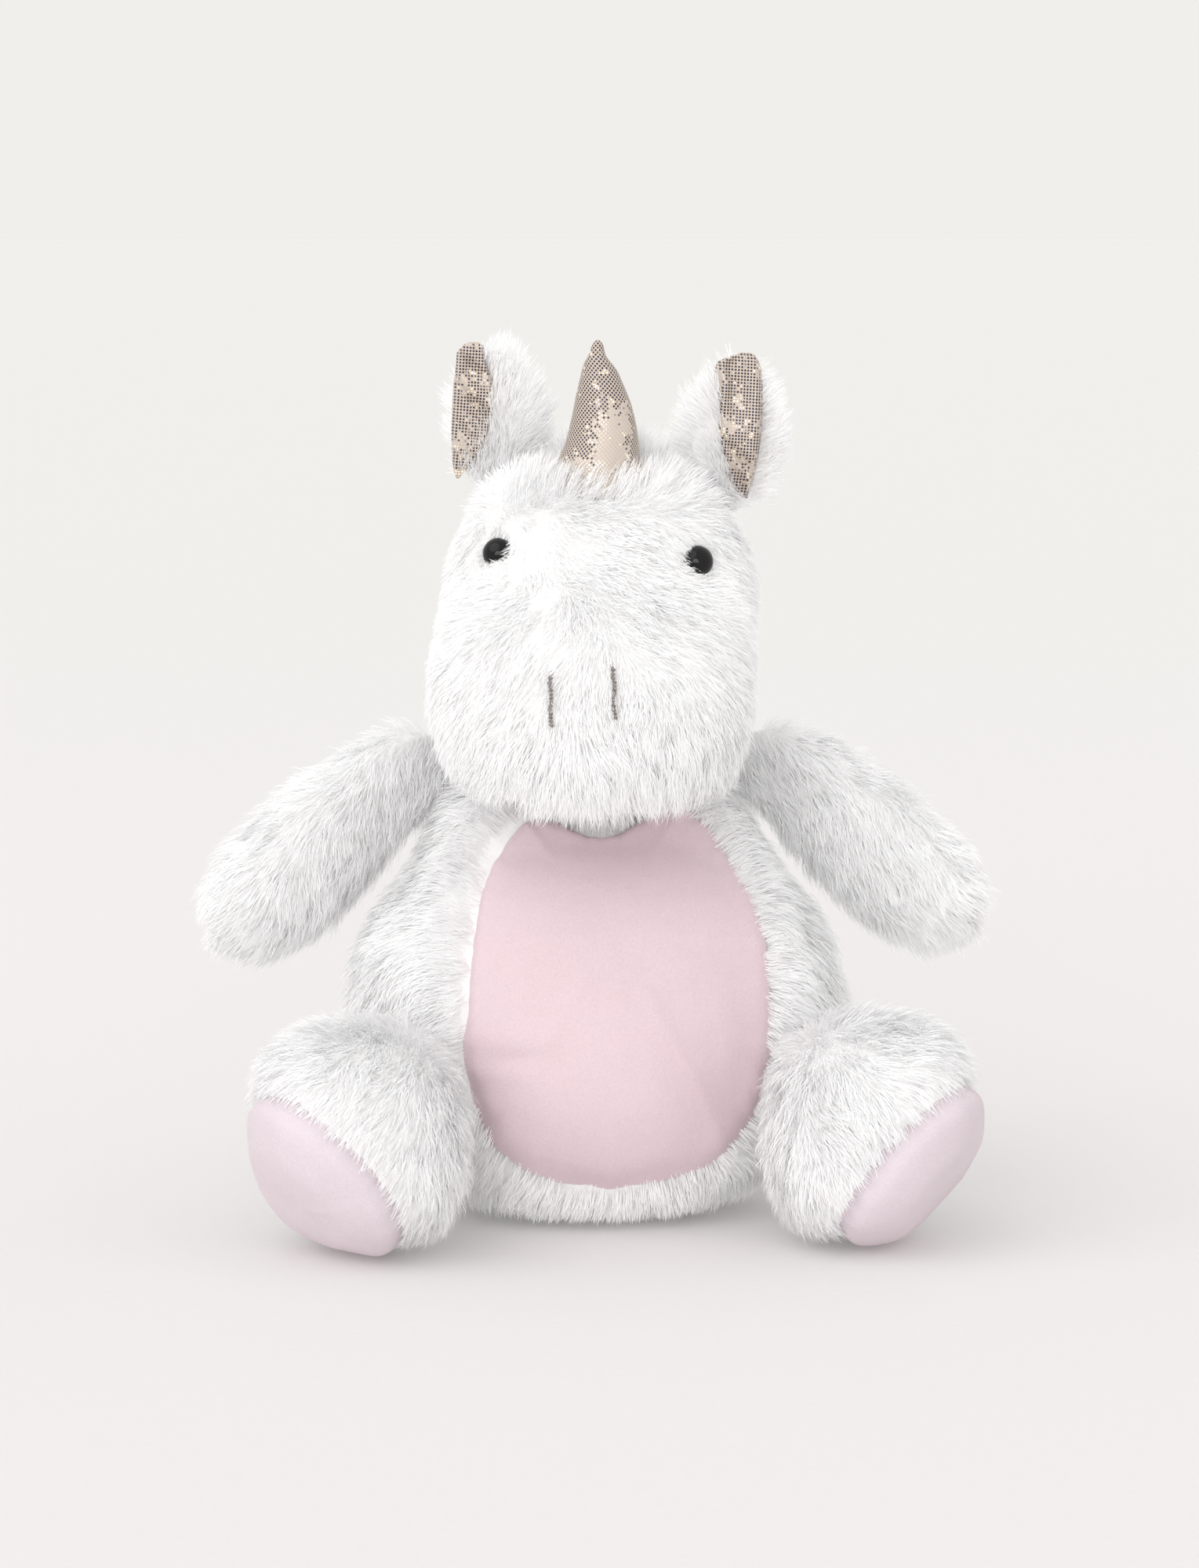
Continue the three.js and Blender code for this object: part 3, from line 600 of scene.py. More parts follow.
def patch(name, node_name, centre, rings, shape, overlap, ground=None):
    """A piece of cloth over one CAD node, as seen from centre: its outline is the node's own, times
    overlap(angle). It lies on the node, or on all the ground nodes where it reaches past its own.
    shape(u, angle, points) gives how far each corner lies below that face."""
    tree = tree_of(node_name)
    corners = node_mesh(node_name)[0]
    axis = unit(unit(corners - centre).mean(0))
    across = unit(np.cross([0, 0, 1.0], axis) if abs(axis[2]) < 0.95 else np.array([1.0, 0, 0]))
    up = np.cross(axis, across)

    def direction(polar, angle):
        return swung(axis, swung(across, up, angle), polar)

    angles = np.linspace(0, 2 * math.pi, 96, endpoint=False)
    low = np.zeros(len(angles))
    high = np.full(len(angles), math.radians(88))
    for _ in range(14):
        half = (low + high) / 2
        inside = reach(tree, centre, direction(half, angles)) > 0
        low = np.where(inside, half, low)
        high = np.where(inside, high, half)
    edge = low.copy()
    for _ in range(3):
        edge = 0.5 * edge + 0.25 * (np.roll(edge, 1) + np.roll(edge, -1))
    polar, faces = disc(rings)
    rim = np.interp(polar[:, 1], np.append(angles, 2 * math.pi), np.append(edge, edge[0]))
    look = direction(polar[:, 0] * rim * overlap(polar[:, 1]), polar[:, 1])
    if ground is None:
        held_in = direction(np.minimum(polar[:, 0], 0.95) * rim, polar[:, 1])
        distance = reach(tree, centre, held_in)
        missing = distance <= 0
        if missing.any():
            distance[missing] = np.median(distance[~missing])
    else:
        distance = reach_over_seams(tree_of(*ground), centre, look)
    obj = new_object(name, centre + look * distance[:, None], faces)
    edges = edges_of(obj)
    distance = relaxed(distance, edges, 6)
    points = centre + look * distance[:, None]
    lowered = shape(polar[:, 0], polar[:, 1], points)
    set_points(obj, points - look * lowered[:, None])
    return obj, polar, axis


# ---------------------------------------------------------------- fur

MOST_FIBRES = 39000  # in one piece; a larger coat is cut into level bands
ROOT_DEPTH = 0.4 * MM  # how far a fibre starts below its skin
BOW = 0.16  # how far a fibre arches, as a share of its length
OFF_FLOOR, TIP_OFF_FLOOR = 0.3 * MM, 0.6 * MM


def grow(name, ground, body, coat, seed):
    """Fur as real fibres on a skin: each is a narrow tapering blade of two quads and a tip.

    coat: tufts per square cm, fibres per tuft, length, lean from the normal, width, spread of a
    tuft's roots, how far its tips gather, and comb(points, normals), and if given stray, the
    scatter of the comb, size(points) and rise(points), which scale the length and the lean, and
    keep(points, normals), where it grows."""
    rng = np.random.default_rng(seed)
    ground.data.calc_loop_triangles()
    tri = read(ground.data.loop_triangles, "vertices", kind=int)
    roots = points_of(ground)[tri]
    ups = normals_of(ground)[tri]
    area = np.linalg.norm(np.cross(roots[:, 1] - roots[:, 0], roots[:, 2] - roots[:, 0]), axis=1) / 2
    count = int(area.sum() * 1e4 * coat["tufts"])
    pick = rng.choice(len(roots), size=count, p=area / area.sum())
    a = np.sqrt(rng.random(count))[:, None]
    b = rng.random(count)[:, None]
    weights = np.stack([1 - a, a * (1 - b), a * b], axis=1)
    place_at = (roots[pick] * weights).sum(1)
    normal = unit((ups[pick] * weights).sum(1))
    keep = coat["keep"](place_at, normal) if "keep" in coat else np.ones(count, bool)
    place_at, normal = place_at[keep], normal[keep]
    count = len(place_at)
    along = coat["comb"](place_at, normal)
    along = unit(along - normal * dot(along, normal))
    swirl = 0.4 * waves(place_at, seed + 1, 26 * MM) + rng.normal(0, coat.get("stray", 0.12), count)
    along = swung(along, np.cross(normal, along), swirl)
    size = coat["size"](place_at) if "size" in coat else np.ones(count)
    length = coat["length"] * size * rng.uniform(0.92, 1.08, count)
    lean = coat["lean"] + rng.normal(0, 0.05, count) + 0.09 * waves(place_at, seed + 2, 16 * MM)
    if "rise" in coat:
        lean = lean * coat["rise"](place_at)
    lean = np.clip(lean, 0.15, 1.4)
    tip = place_at + swung(normal, along, lean) * length[:, None]

    each = coat["fibres"]
    n = count * each

    def rep(values):
        return np.repeat(values, each, axis=0)

    normal_s, along_s, tip_s, length_s, lean_s = map(rep, (normal, along, tip, length, lean))
    across_s = np.cross(normal_s, along_s)
    radius = coat["spread"] * np.sqrt(rng.random(n))
    turn = rng.uniform(0, 2 * math.pi, n)
    root = rep(place_at) + along_s * (radius * np.cos(turn))[:, None]
    root += across_s * (radius * np.sin(turn))[:, None] - normal_s * ROOT_DEPTH
    lean_s = np.clip(lean_s + rng.normal(0, 0.11, n), 0.1, 1.45)
    veer = rng.normal(0, 0.18, n)
    heading = swung(along_s, across_s, veer)
    own = length_s * rng.uniform(0.72, 1.08, n)
    own_tip = root + swung(normal_s, heading, lean_s) * own[:, None]
    gather = (coat["gather"] * rng.uniform(0.6, 1.2, n))[:, None]
    own_tip = own_tip + (tip_s - own_tip) * gather
    own_tip[:, 2] = np.maximum(own_tip[:, 2], TIP_OFF_FLOOR)
    shaft = own_tip - root
    bow = normal_s * (own * BOW)[:, None] + heading * (own * rng.normal(0, 0.03, n))[:, None]
    facing = unit(normal_s + rng.normal(0, 0.3, (n, 3)))
    blade = unit(np.cross(shaft, facing))
    width = coat["width"] * rng.uniform(0.75, 1.25, n)
    rows = []
    for share, full in ((0.0, 0.9), (0.4, 1.0), (0.74, 0.7)):
        mid = root + shaft * share + bow * (4 * share * (1 - share))
        half = blade * (width * full / 2)[:, None]
        rows += [mid - half, mid + half]
    rows.append(own_tip)
    corners = np.stack(rows, axis=1)
    corners[:, :, 2] = np.maximum(corners[:, :, 2], OFF_FLOOR)
    shade = rep(rng.choice(3, size=count, p=[0.6, 0.22, 0.18]))

    bands = math.ceil(n / MOST_FIBRES)
    order = np.argsort(rep(place_at[:, 2]), kind="stable")
    for number, band in enumerate(np.array_split(order, bands), 1):
        piece = fibre_piece(name if bands == 1 else f"{name}_{number}", corners[band], shade[band])
        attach(piece, body)
    return piece


def fibre_piece(name, corners, shade):
    """One object of fibres: corners (fibre, 7, 3) and the material number of each fibre."""
    n = len(corners)
    corners = corners.reshape(-1, 3)
    pattern = np.array([0, 1, 3, 2, 2, 3, 5, 4, 4, 5, 6])
    loops = (np.arange(n)[:, None] * 7 + pattern).ravel()
    starts = (np.arange(n)[:, None] * 11 + np.array([0, 4, 8])).ravel()
    shade = np.repeat(shade, 3)
    mesh = bpy.data.meshes.new(name)
    mesh.vertices.add(len(corners))
    mesh.vertices.foreach_set("co", corners.ravel())
    mesh.loops.add(len(loops))
    mesh.loops.foreach_set("vertex_index", loops.astype(np.int32))
    mesh.polygons.add(len(starts))
    mesh.polygons.foreach_set("loop_start", starts.astype(np.int32))
    mesh.polygons.foreach_set("material_index", shade.astype(np.int32))
    mesh.polygons.foreach_set("use_smooth", np.ones(len(starts), bool))
    mesh.update(calc_edges=True)
    return wear(in_scene(name, mesh), *FIBRES)


DOWN = np.array([0, 0, -1.0])
FINE = {"tufts": 27, "fibres": 10, "width": 0.205 * MM, "spread": 2.7 * MM, "gather": 0.11}


def toward(way):
    """A comb that lays all fibres one way."""
    return lambda points, normals: np.broadcast_to(way, points.shape)


# ---------------------------------------------------------------- torso

TORSO_NODES = [
    "torso_side_panel_left", "torso_side_panel_right", "torso_back_panel_left",
    "torso_back_panel_right", "belly_panel", "seat_panel", "torso_stuffing",
]
SKIN_DEPTH = 4.8 * MM  # the pile stands on the skin this far below the CAD face
torso, torso_centre = skin("torso_plush", TORSO_NODES, SKIN_DEPTH, 5)
declared(torso, BACKING, "white_plush", "torso", *(n for n in TORSO_NODES if n != "belly_panel"),
         fill=0.75)

belly_tree = tree_of("belly_panel")
belly_low, belly_high = box("belly_panel")


def belly_shape(u, angle, points):
    """Crowned velour with soft creases, whose edge dives into its seam, gathered in puckers."""
    edge = ramp(u, 0.86, 1.0) ** 1.6 * 4.2 * MM
    pucker = np.sin(angle * 46 + 1.5 * np.sin(angle * 7)) * np.exp(-((u - 0.93) / 0.07) ** 2)
    swell = (1 - u**2) * 1.2 * MM
    share = (points[:, 2] - belly_low[2]) / (belly_high[2] - belly_low[2])
    side = points[:, 0] / belly_high[0]
    inward = ramp(-side, 0.15, 0.6) * (1 - 0.8 * ramp(u, 0.72, 0.95))
    crease = np.exp(-((share - 0.37 - 0.03 * side) / 0.022) ** 2) * inward
    lip = np.exp(-((share - 0.43 - 0.03 * side) / 0.03) ** 2) * inward
    fold = np.exp(-((share - 0.27) / 0.03) ** 2) * ramp(-side, 0.45, 0.9) * 0.6
    sway = waves(points, 7, 55 * MM, 2)
    return edge + pucker * 0.25 * MM - swell + (crease * 1.1 - lip * 0.7 + fold - 0.4 * sway) * MM


def belly_overlap(angle):
    """The velour reaches past its CAD panel on the right and at its foot, and less at its top."""
    right, top = np.cos(angle), np.sin(angle)
    up_and_down = 0.04 * ramp(-top, 0.3, 0.9) - 0.04 * ramp(top, 0.3, 0.9)
    return 0.99 + 0.09 * ramp(right, 0.1, 0.9) + up_and_down


belly, belly_polar, _ = patch(
    "belly_velour", "belly_panel", torso_centre, 34, belly_shape, belly_overlap, ground=TORSO_NODES)
inflate(belly, (belly_polar[:, 0] > 0.86) | (belly_polar[:, 0] < 0.03), pressure=3.0, cap=1.5 * MM)
declared(subdivided(belly), VELOUR, "pink_velour", "torso", "belly_panel", fill=0.7)
belly_middle = middle("belly_panel")
belly_half = (belly_high - belly_low) / 2


def from_belly(points):
    """Direction away from the belly's middle, in its own plane, and how far out: 1 is its edge."""
    out = (points - belly_middle) * [1, 0, 1]
    share = np.linalg.norm(out[:, [0, 2]] / belly_half[[0, 2]], axis=1)
    share = np.where(points[:, 1] < torso_centre[1], share, 3.0)
    return unit(out), share


def off_belly(points, normals):
    out, _ = from_belly(points)
    margin = 0.6 + 5.0 * ramp(out[:, 0], 0.2, 0.8) + 3.2 * ramp(-out[:, 2], 0.3, 0.9)
    return ~covers(belly_tree, torso_centre, points - out * margin[:, None] * MM)


def torso_comb(points, normals):
    """Down, and beside the belly away from its seam."""
    out, share = from_belly(points)
    beside = (1 - ramp(share, 1.0, 1.45))[:, None]
    round_off = (points - torso_centre) * [1, 1, 0]
    return DOWN * (1 - 0.55 * beside) + 0.25 * unit(round_off) + out * beside


def torso_size(points):
    """Shorter just above the floor and beside the belly."""
    _, share = from_belly(points)
    by_floor = ramp(-points[:, 2], -16 * MM, -4 * MM)
    return (1 - 0.25 * by_floor) * (0.72 + 0.28 * ramp(share, 1.0, 1.3))


def torso_rise(points):
    """The pile stands up along the belly's seam."""
    _, share = from_belly(points)
    return 0.6 + 0.4 * ramp(share, 1.02, 1.22)


TORSO_COAT = {
    **FINE, "length": 11 * MM, "lean": 1.08, "comb": torso_comb, "size": torso_size,
    "keep": off_belly, "rise": torso_rise,
}
grow("torso_fur", torso, "torso", TORSO_COAT, 11)

# ---------------------------------------------------------------- head

HEAD_NODES = [
    "head_side_panel_left", "head_side_panel_right", "head_centre_gusset", "chin_gusset",
    "head_stuffing",
]
head, head_centre = skin(
    "head_plush", HEAD_NODES, SKIN_DEPTH, 5, shallow=("chin_gusset", 2.4 * MM), cap=1.0 * MM)
declared(head, BACKING, "white_plush", "head", *HEAD_NODES, fill=0.8)


def eye_frame(side):
    """Apex of the dome and the way that it looks."""
    corners = node_mesh(f"eye_{side}")[0]
    axis = main_axes(corners)[0][0]
    axis = axis if axis @ (corners.mean(0) - head_centre) > 0 else -axis
    middle_line = corners.mean(0)
    radial = corners - middle_line - dot(corners - middle_line, axis) * axis
    wide = np.linalg.norm(radial, axis=1)
    rim = corners[wide > wide.max() * 0.9]
    centre = rim.mean(0)
    apex = centre + axis * ((corners - centre) @ axis).max()
    return apex, axis, wide.max()


def lathe(name, profile, origin, axis, steps=48):
    """A turned form: (radius, height) pairs about an axis."""
    side = unit(np.cross(axis, [0.3, 0.2, 0.9]))
    other = np.cross(axis, side)
    corners = []
    for radius, height in profile:
        for k in range(steps):
            t = 2 * math.pi * k / steps
            outward = side * math.cos(t) + other * math.sin(t)
            corners.append(origin + axis * height + outward * radius)
    rows = len(profile)
    faces = tube_faces(rows - 1, steps)
    for ring, flip in ((0, True), (rows - 1, False)):
        hub = len(corners)
        corners.append(origin + axis * profile[ring][1])
        for k in range(steps):
            m = (k + 1) % steps
            base = ring * steps
            faces.append((base + m, base + k, hub) if flip else (base + k, base + m, hub))
    return new_object(name, corners, faces)


eyes = {}
for side in SIDES:
    apex, axis, radius = eye_frame(side)
    seat = apex - axis * 5.2 * MM
    gaze = unit(axis + np.array([0, -0.30, 0.04]))  # the dome is pressed round towards the front
    eyes[side] = (seat + gaze * 4.4 * MM, gaze, radius)
    dome = [(radius * math.cos(t), 4.4 * MM * math.sin(t)) for t in np.linspace(1.5, 0, 14)]
    back = [(radius * 0.97, -0.6 * MM), (radius * 0.7, -0.9 * MM), (1.7 * MM, -1.0 * MM)]
    post = [(1.6 * MM, 0.0), (1.6 * MM, -12.4 * MM), (1.1 * MM, -12.9 * MM)]
    for name, profile, way in (("dome", dome + back, gaze), ("post", post, axis)):
        eye = lathe(f"eye_{name}_{side}", profile[::-1], seat, way)
        stands_for = [f"eye_{side}"] if name == "dome" else []
        declared(eye, EYE_BLACK, "eye_gloss", "head", *stands_for)

chin_tree = tree_of("chin_gusset")
mane_tree = tree_of("mane_strip")
horn_low, horn_high = box("horn_cover")
horn_foot = np.append((horn_low + horn_high)[:2] / 2, horn_low[2])
stitch_lines = {side: node_mesh(f"nostril_stitch_{side}")[0] for side in SIDES}
snout = np.mean([line.mean(0) for line in stitch_lines.values()], axis=0)
brow = np.mean([apex for apex, _, _ in eyes.values()], axis=0)
nose_bridge = snout * 0.45 + brow * 0.55


def near(points, target):
    return np.linalg.norm(points - target, axis=1)


def line_distance(points, line):
    """Distance from the line through a thin upright piece, within its height."""
    low, high = line[line[:, 2].argmin()], line[line[:, 2].argmax()]
    way = high - low
    t = np.clip(((points - low) @ way) / (way @ way), 0, 1)
    return np.linalg.norm(points - low - t[:, None] * way, axis=1)


def head_keep(points, normals):
    keep = np.ones(len(points), bool)
    for apex, axis, radius in eyes.values():
        inner = (points - apex) @ np.array([-np.sign(apex[0]), 0, -1.0]) > 0
        keep &= near(points, apex - axis * 5 * MM) > radius * np.where(inner, 0.8, 1.12)
    keep &= near(points, horn_foot) > 7.5 * MM
    return keep


def crown(points):
    """1 next to the horn and on the crest between the ears, 0 on the face and the sides."""
    away = (points - horn_foot) * [0.75, 1.0, 1.0]
    away[:, 1] *= np.where(away[:, 1] < 0, 1.15, 0.8)
    return 1 - ramp(np.linalg.norm(away, axis=1), 18 * MM, 34 * MM)


def head_rise(points):
    return 1 - 0.62 * crown(points)


def head_comb(points, normals):
    """From the bridge of the nose out over the face, down on the cheeks, and back over the skull."""
    out = points - nose_bridge
    out = out / (np.linalg.norm(out, axis=1, keepdims=True) + 22 * MM)
    down = ramp(brow[2] - points[:, 2], -4 * MM, 30 * MM)[:, None]
    back = ramp(points[:, 1] - nose_bridge[1], 35 * MM, 75 * MM)[:, None]
    forehead = np.array([0.42, 0.05, -0.62])
    face = out * (0.1 + 1.25 * down) + forehead * (1 - down) + np.array([0, 0, -0.75]) * down
    for apex, axis, radius in eyes.values():
        way = apex - points
        far = np.linalg.norm(way, axis=1)
        inner = way @ np.array([np.sign(apex[0]), 0, 1.0]) > 0
        draw = (1 - ramp(far, radius * 1.3, radius * 2.4)) * inner
        face = face + 1.1 * draw[:, None] * way / far[:, None]
    return face * (1 - back) + np.array([0, 0.5, -0.9]) * back


def head_size(points):
    size = 0.72 + 0.40 * ramp(snout[2] - points[:, 2], -14 * MM, 22 * MM)
    size *= 1 - 0.2 * ramp(points[:, 1] - snout[1], 25 * MM, 60 * MM)
    size *= 1 + 1.2 * crown(points)
    nape = ramp(points[:, 1] - head_centre[1], 5 * MM, 30 * MM)
    nape = nape * ramp(head_centre[2] - points[:, 2], -5 * MM, 20 * MM)
    size *= 1 + 1.1 * nape
    for apex, axis, radius in eyes.values():
        size *= 0.66 + 0.34 * ramp(near(points, apex - axis * 5 * MM), radius * 1.1, radius * 2.6)
    for line in stitch_lines.values():
        size *= 0.62 + 0.38 * ramp(line_distance(points, line), 4.2 * MM, 9 * MM)
    chin = covers(chin_tree, head_centre, points)
    return np.where(chin, 0.42, size)


HEAD_COAT = {
    **FINE, "length": 10.5 * MM, "lean": 1.1, "comb": head_comb, "size": head_size,
    "keep": head_keep, "rise": head_rise,
}
grow("head_fur", head, "head", HEAD_COAT, 21)

# The mane: long pile on the crest, from behind the horn down the nape.

mane_corners = node_mesh("mane_strip")[0]
mane_top = mane_corners[mane_corners[:, 2].argmax()]


def mane_keep(points, normals):
    return covers(mane_tree, head_centre, points) & (near(points, horn_foot) > 12 * MM)


def mane_comb(points, normals):
    side = (points[:, :1] - mane_top[0]) / (9 * MM)
    return np.array([0, 0.45, -0.15]) + side * np.array([1.0, 0, 0])


MANE_COAT = {
    **FINE, "tufts": 40, "length": 21 * MM, "lean": 0.5, "comb": mane_comb, "keep": mane_keep,
    "stray": 0.4,
}
mane = grow("mane_fur", head, "head", MANE_COAT, 31)
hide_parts("mane_strip")

# Nostrils: a pair of twisted threads laid along each stitch, with their ends pulled in.

LOOSE_HAIRS = 260


def twisted_thread(name, line, ply=2, turns=7, radius=0.36 * MM, steps=150):
    """Embroidery thread: plies twisted round each other, with loose hairs, sunk into the pile."""
    rng = np.random.default_rng(97)
    low, high = line[line[:, 2].argmin()], line[line[:, 2].argmax()]
    middle_out = unit((low + high) / 2 - head_centre)
    side_way = unit(np.cross(high - low, middle_out))
    corners, faces = [], []
    section = 8
    for p in range(ply):
        base = len(corners)
        for k in range(steps + 1):
            t = k / steps
            sunk = -1.6 * MM - 3.5 * MM * (max(0, abs(2 * t - 1) - 0.88) / 0.12) ** 1.5
            phase = 2 * math.pi * (turns * t + p / ply)
            stray = 0.22 * MM * math.sin(11 * t + 1.3) + 0.12 * MM * math.sin(29 * t)
            centre = low + (high - low) * t + middle_out * (sunk + math.sin(phase) * radius)
            centre = centre + side_way * (math.cos(phase) * radius * 1.15 + stray)
            thick = radius * (0.92 + 0.18 * math.sin(47 * t + p))
            for s in range(section):
                a = 2 * math.pi * s / section
                corners.append(centre + (side_way * math.cos(a) + middle_out * math.sin(a)) * thick)
        faces += tube_faces(steps, section, base)
        faces.append([base + s for s in range(section)][::-1])
        faces.append([base + steps * section + s for s in range(section)])
    for _ in range(LOOSE_HAIRS):
        t = rng.uniform(0.03, 0.97)
        start = low + (high - low) * t + middle_out * (-1.5 * MM)
        start = start + side_way * rng.normal(0, 0.35) * MM
        way = side_way * rng.normal(0, 1.0) + middle_out * 1.1 + (high - low) * rng.normal(0, 18)
        way = unit(way)
        end = start + way * rng.uniform(0.8, 1.9) * MM
        half = unit(np.cross(way, rng.normal(size=3))) * 0.05 * MM
        base = len(corners)
        corners += [start - half, start + half, end]
        faces.append((base, base + 1, base + 2))
    return new_object(name, corners, faces)


for side in SIDES:
    stitch = twisted_thread(f"nostril_thread_{side}", stitch_lines[side])
    declared(stitch, GREY_THREAD, "grey_thread", "head", f"nostril_stitch_{side}")

# ---------------------------------------------------------------- neck

neck_centre = middle("neck_stuffing")
neck_axis = unit(np.array([0, -0.39, 0.92]))
collar_profile = [
    (29 * MM * math.cos(t) ** 0.5, 19 * MM * math.sin(t)) for t in np.linspace(-1.35, 1.35, 19)]
neck = lathe("neck_collar", collar_profile, neck_centre, neck_axis, 40)
declared(neck, BACKING, "white_plush", "neck", "neck_stuffing", fill=0.7)
NECK_COAT = {
    **FINE, "length": 11 * MM, "lean": 0.6, "comb": toward(DOWN),
    "keep": lambda p, n: np.abs((p - neck_centre) @ neck_axis) < 12 * MM,
}
grow("neck_fur", neck, "neck", NECK_COAT, 41)

# ---------------------------------------------------------------- horn

# Rows from the seam to the tip: share of the height, and the left and right edge as shares of half
# the width. The left edge flares out at the seam, the right one is full, and a folded nub ends it.
HORN_EDGES = np.array([
    (0.0, -0.99, 0.96), (0.107, -0.957, 0.90), (0.215, -0.794, 0.88), (0.323, -0.695, 0.851),
    (0.431, -0.62, 0.787), (0.539, -0.567, 0.688), (0.646, -0.51, 0.553), (0.754, -0.44, 0.404),
    (0.826, -0.362, 0.27), (0.889, -0.265, 0.113), (0.951, -0.215, 0.078), (0.984, -0.17, 0.05),
    (1.0, -0.085, -0.03),
])
HORN_SUNK = 7 * MM  # how far its foot stands in the fur


def foil_cone():
    """A stuffed cone of satin between those edges, with small creases near its seam and its tip."""
    height = horn_high[2] - horn_low[2]
    wide = (horn_high[0] - horn_low[0]) / 2
    rows, steps = 84, 96
    levels = np.linspace(0, 1, rows + 1)
    left = np.interp(levels, HORN_EDGES[:, 0], HORN_EDGES[:, 1])
    right = np.interp(levels, HORN_EDGES[:, 0], HORN_EDGES[:, 2])
    for _ in range(6):
        left[1:-1] = 0.5 * left[1:-1] + 0.25 * (left[:-2] + left[2:])
        right[1:-1] = 0.5 * right[1:-1] + 0.25 * (right[:-2] + right[2:])
    corners, uv = [], []
    for r, t in enumerate(levels):
        shift = (left[r] + right[r]) / 2 * wide
        half = (right[r] - left[r]) / 2 * wide
        for k in range(steps):
            a = 2 * math.pi * k / steps
            wrinkle = math.sin(9 * a + 2.2 * math.sin(5 * t)) * math.exp(-t / 0.12) * 0.022
            dimple = math.sin(2 * a + 4.5 * t) * 0.012 + math.sin(3 * a - 7.0 * t + 1.0) * 0.012
            pinch = 0.05 * math.sin(26 * t + 2 * math.cos(a - 1.0)) * float(ramp(t, 0.66, 0.86))
            radius = half * (1 + wrinkle + dimple + pinch)
            front = 0.6 * shift + radius * math.sin(a) * 0.97
            rise = height * t - HORN_SUNK * (1 - float(ramp(t, 0.0, 0.12)))
            corners.append(horn_foot + [shift + radius * math.cos(a), front, rise])
            from_front = (a + math.pi / 2 + math.pi) % (2 * math.pi) - math.pi
            uv.append((from_front * half / MM, rise / MM))
    faces = tube_faces(rows, steps)
    faces.append([rows * steps + k for k in range(steps)])
    faces.append([k for k in range(steps)][::-1])
    return corners, faces, uv


corners, faces, uv = foil_cone()
horn = new_object("horn_foil", corners, faces)
layer = horn.data.uv_layers.new(name="cloth")
for polygon in horn.data.polygons:
    at = [uv[horn.data.loops[i].vertex_index] for i in polygon.loop_indices]
    across = [x for x, _ in at]
    wraps = len(at) == 4 and max(across) > 0 > min(across) and min(map(abs, across)) > 1
    for i, (x, y) in zip(polygon.loop_indices, at):
        layer.data[i].uv = (-x if wraps and x < 0 else x, y)
declared(horn, HORN_FOIL, "foil_fabric", "horn", "horn_cover", "horn_stuffing", fill=0.7)

# ---------------------------------------------------------------- ears

# The linings as they show between the fur: rows from the top to the point at the bottom, each with
# its share of the height and its left and right edge as shares of the width.
LINING_EDGES = {
    "left": [(0.0, 0.44, 0.62), (0.012, 0.34, 0.72), (0.035, 0.25, 0.78), (0.08, 0.14, 0.78),
             (0.17, 0.12, 0.84), (0.29, 0.06, 0.98), (0.41, 0.03, 1.0), (0.52, 0.01, 0.98),
             (0.64, 0.0, 0.86), (0.76, 0.01, 0.745), (0.87, 0.03, 0.52), (0.95, 0.06, 0.30),
             (1.0, 0.13, 0.19)],
    "right": [(0.0, 0.58, 0.76), (0.012, 0.46, 0.84), (0.03, 0.26, 0.90), (0.055, 0.09, 0.93),
              (0.11, 0.0, 0.99), (0.19, 0.07, 1.0), (0.30, 0.07, 1.0), (0.41, 0.09, 0.98),
              (0.53, 0.05, 0.96), (0.65, 0.13, 0.91), (0.77, 0.20, 0.85), (0.87, 0.34, 0.79),
              (0.94, 0.49, 0.74), (1.0, 0.64, 0.69)],
}
# Where the drawn outline lies in the CAD lining's box: left, width, above the top, height.
LINING_PLACE = {"left": (-0.09, 0.935, 0.03, 1.09), "right": (-0.15, 1.05, 0.075, 1.19)}


def lining_edges(side, z):
    """The lining's left and right edge at heights z, in metres."""
    low, high = box(f"ear_lining_{side}")
    size = high - low
    left, width, above, tall = LINING_PLACE[side]
    rows = np.array(LINING_EDGES[side])
    share = (high[2] + above * size[2] - z) / (tall * size[2])
    start = low[0] + left * size[0]
    edge = [start + width * size[0] * np.interp(share, rows[:, 0], rows[:, k]) for k in (1, 2)]
    return edge[0], edge[1], share


def lining_folds(side, u, t):
    """How far the cloth stands forward, in mm: u runs -1 to 1 across, t 0 to 1 down."""
    slant = t - 0.13 * u

    def bands(at, wide):
        return np.exp(-((slant - at) / wide) ** 2)

    if side == "left":
        folds = 1.3 * bands(0.33, 0.05) - 1.2 * bands(0.42, 0.03) + 0.9 * bands(0.49, 0.035)
        folds += 0.7 * bands(0.62, 0.04) - 0.8 * bands(0.15, 0.03) + 0.9 * bands(0.07, 0.04)
        return folds + 0.6 * np.exp(-((u + 0.45) / 0.25) ** 2) * bands(0.5, 0.2)
    roll = 1.6 * np.exp(-((u + 0.85) / 0.22) ** 2) * (1 - ramp(t, 0.22, 0.45))
    gutter = -1.0 * np.exp(-((u + 0.35) / 0.2) ** 2) * (1 - ramp(t, 0.25, 0.5))
    ridge = 0.9 * np.exp(-((u - 0.75 + 0.3 * t) / 0.2) ** 2)
    lower = 0.9 * bands(0.62, 0.05) - 0.8 * bands(0.70, 0.03) + 0.8 * bands(0.78, 0.04)
    return roll + gutter + ridge + lower


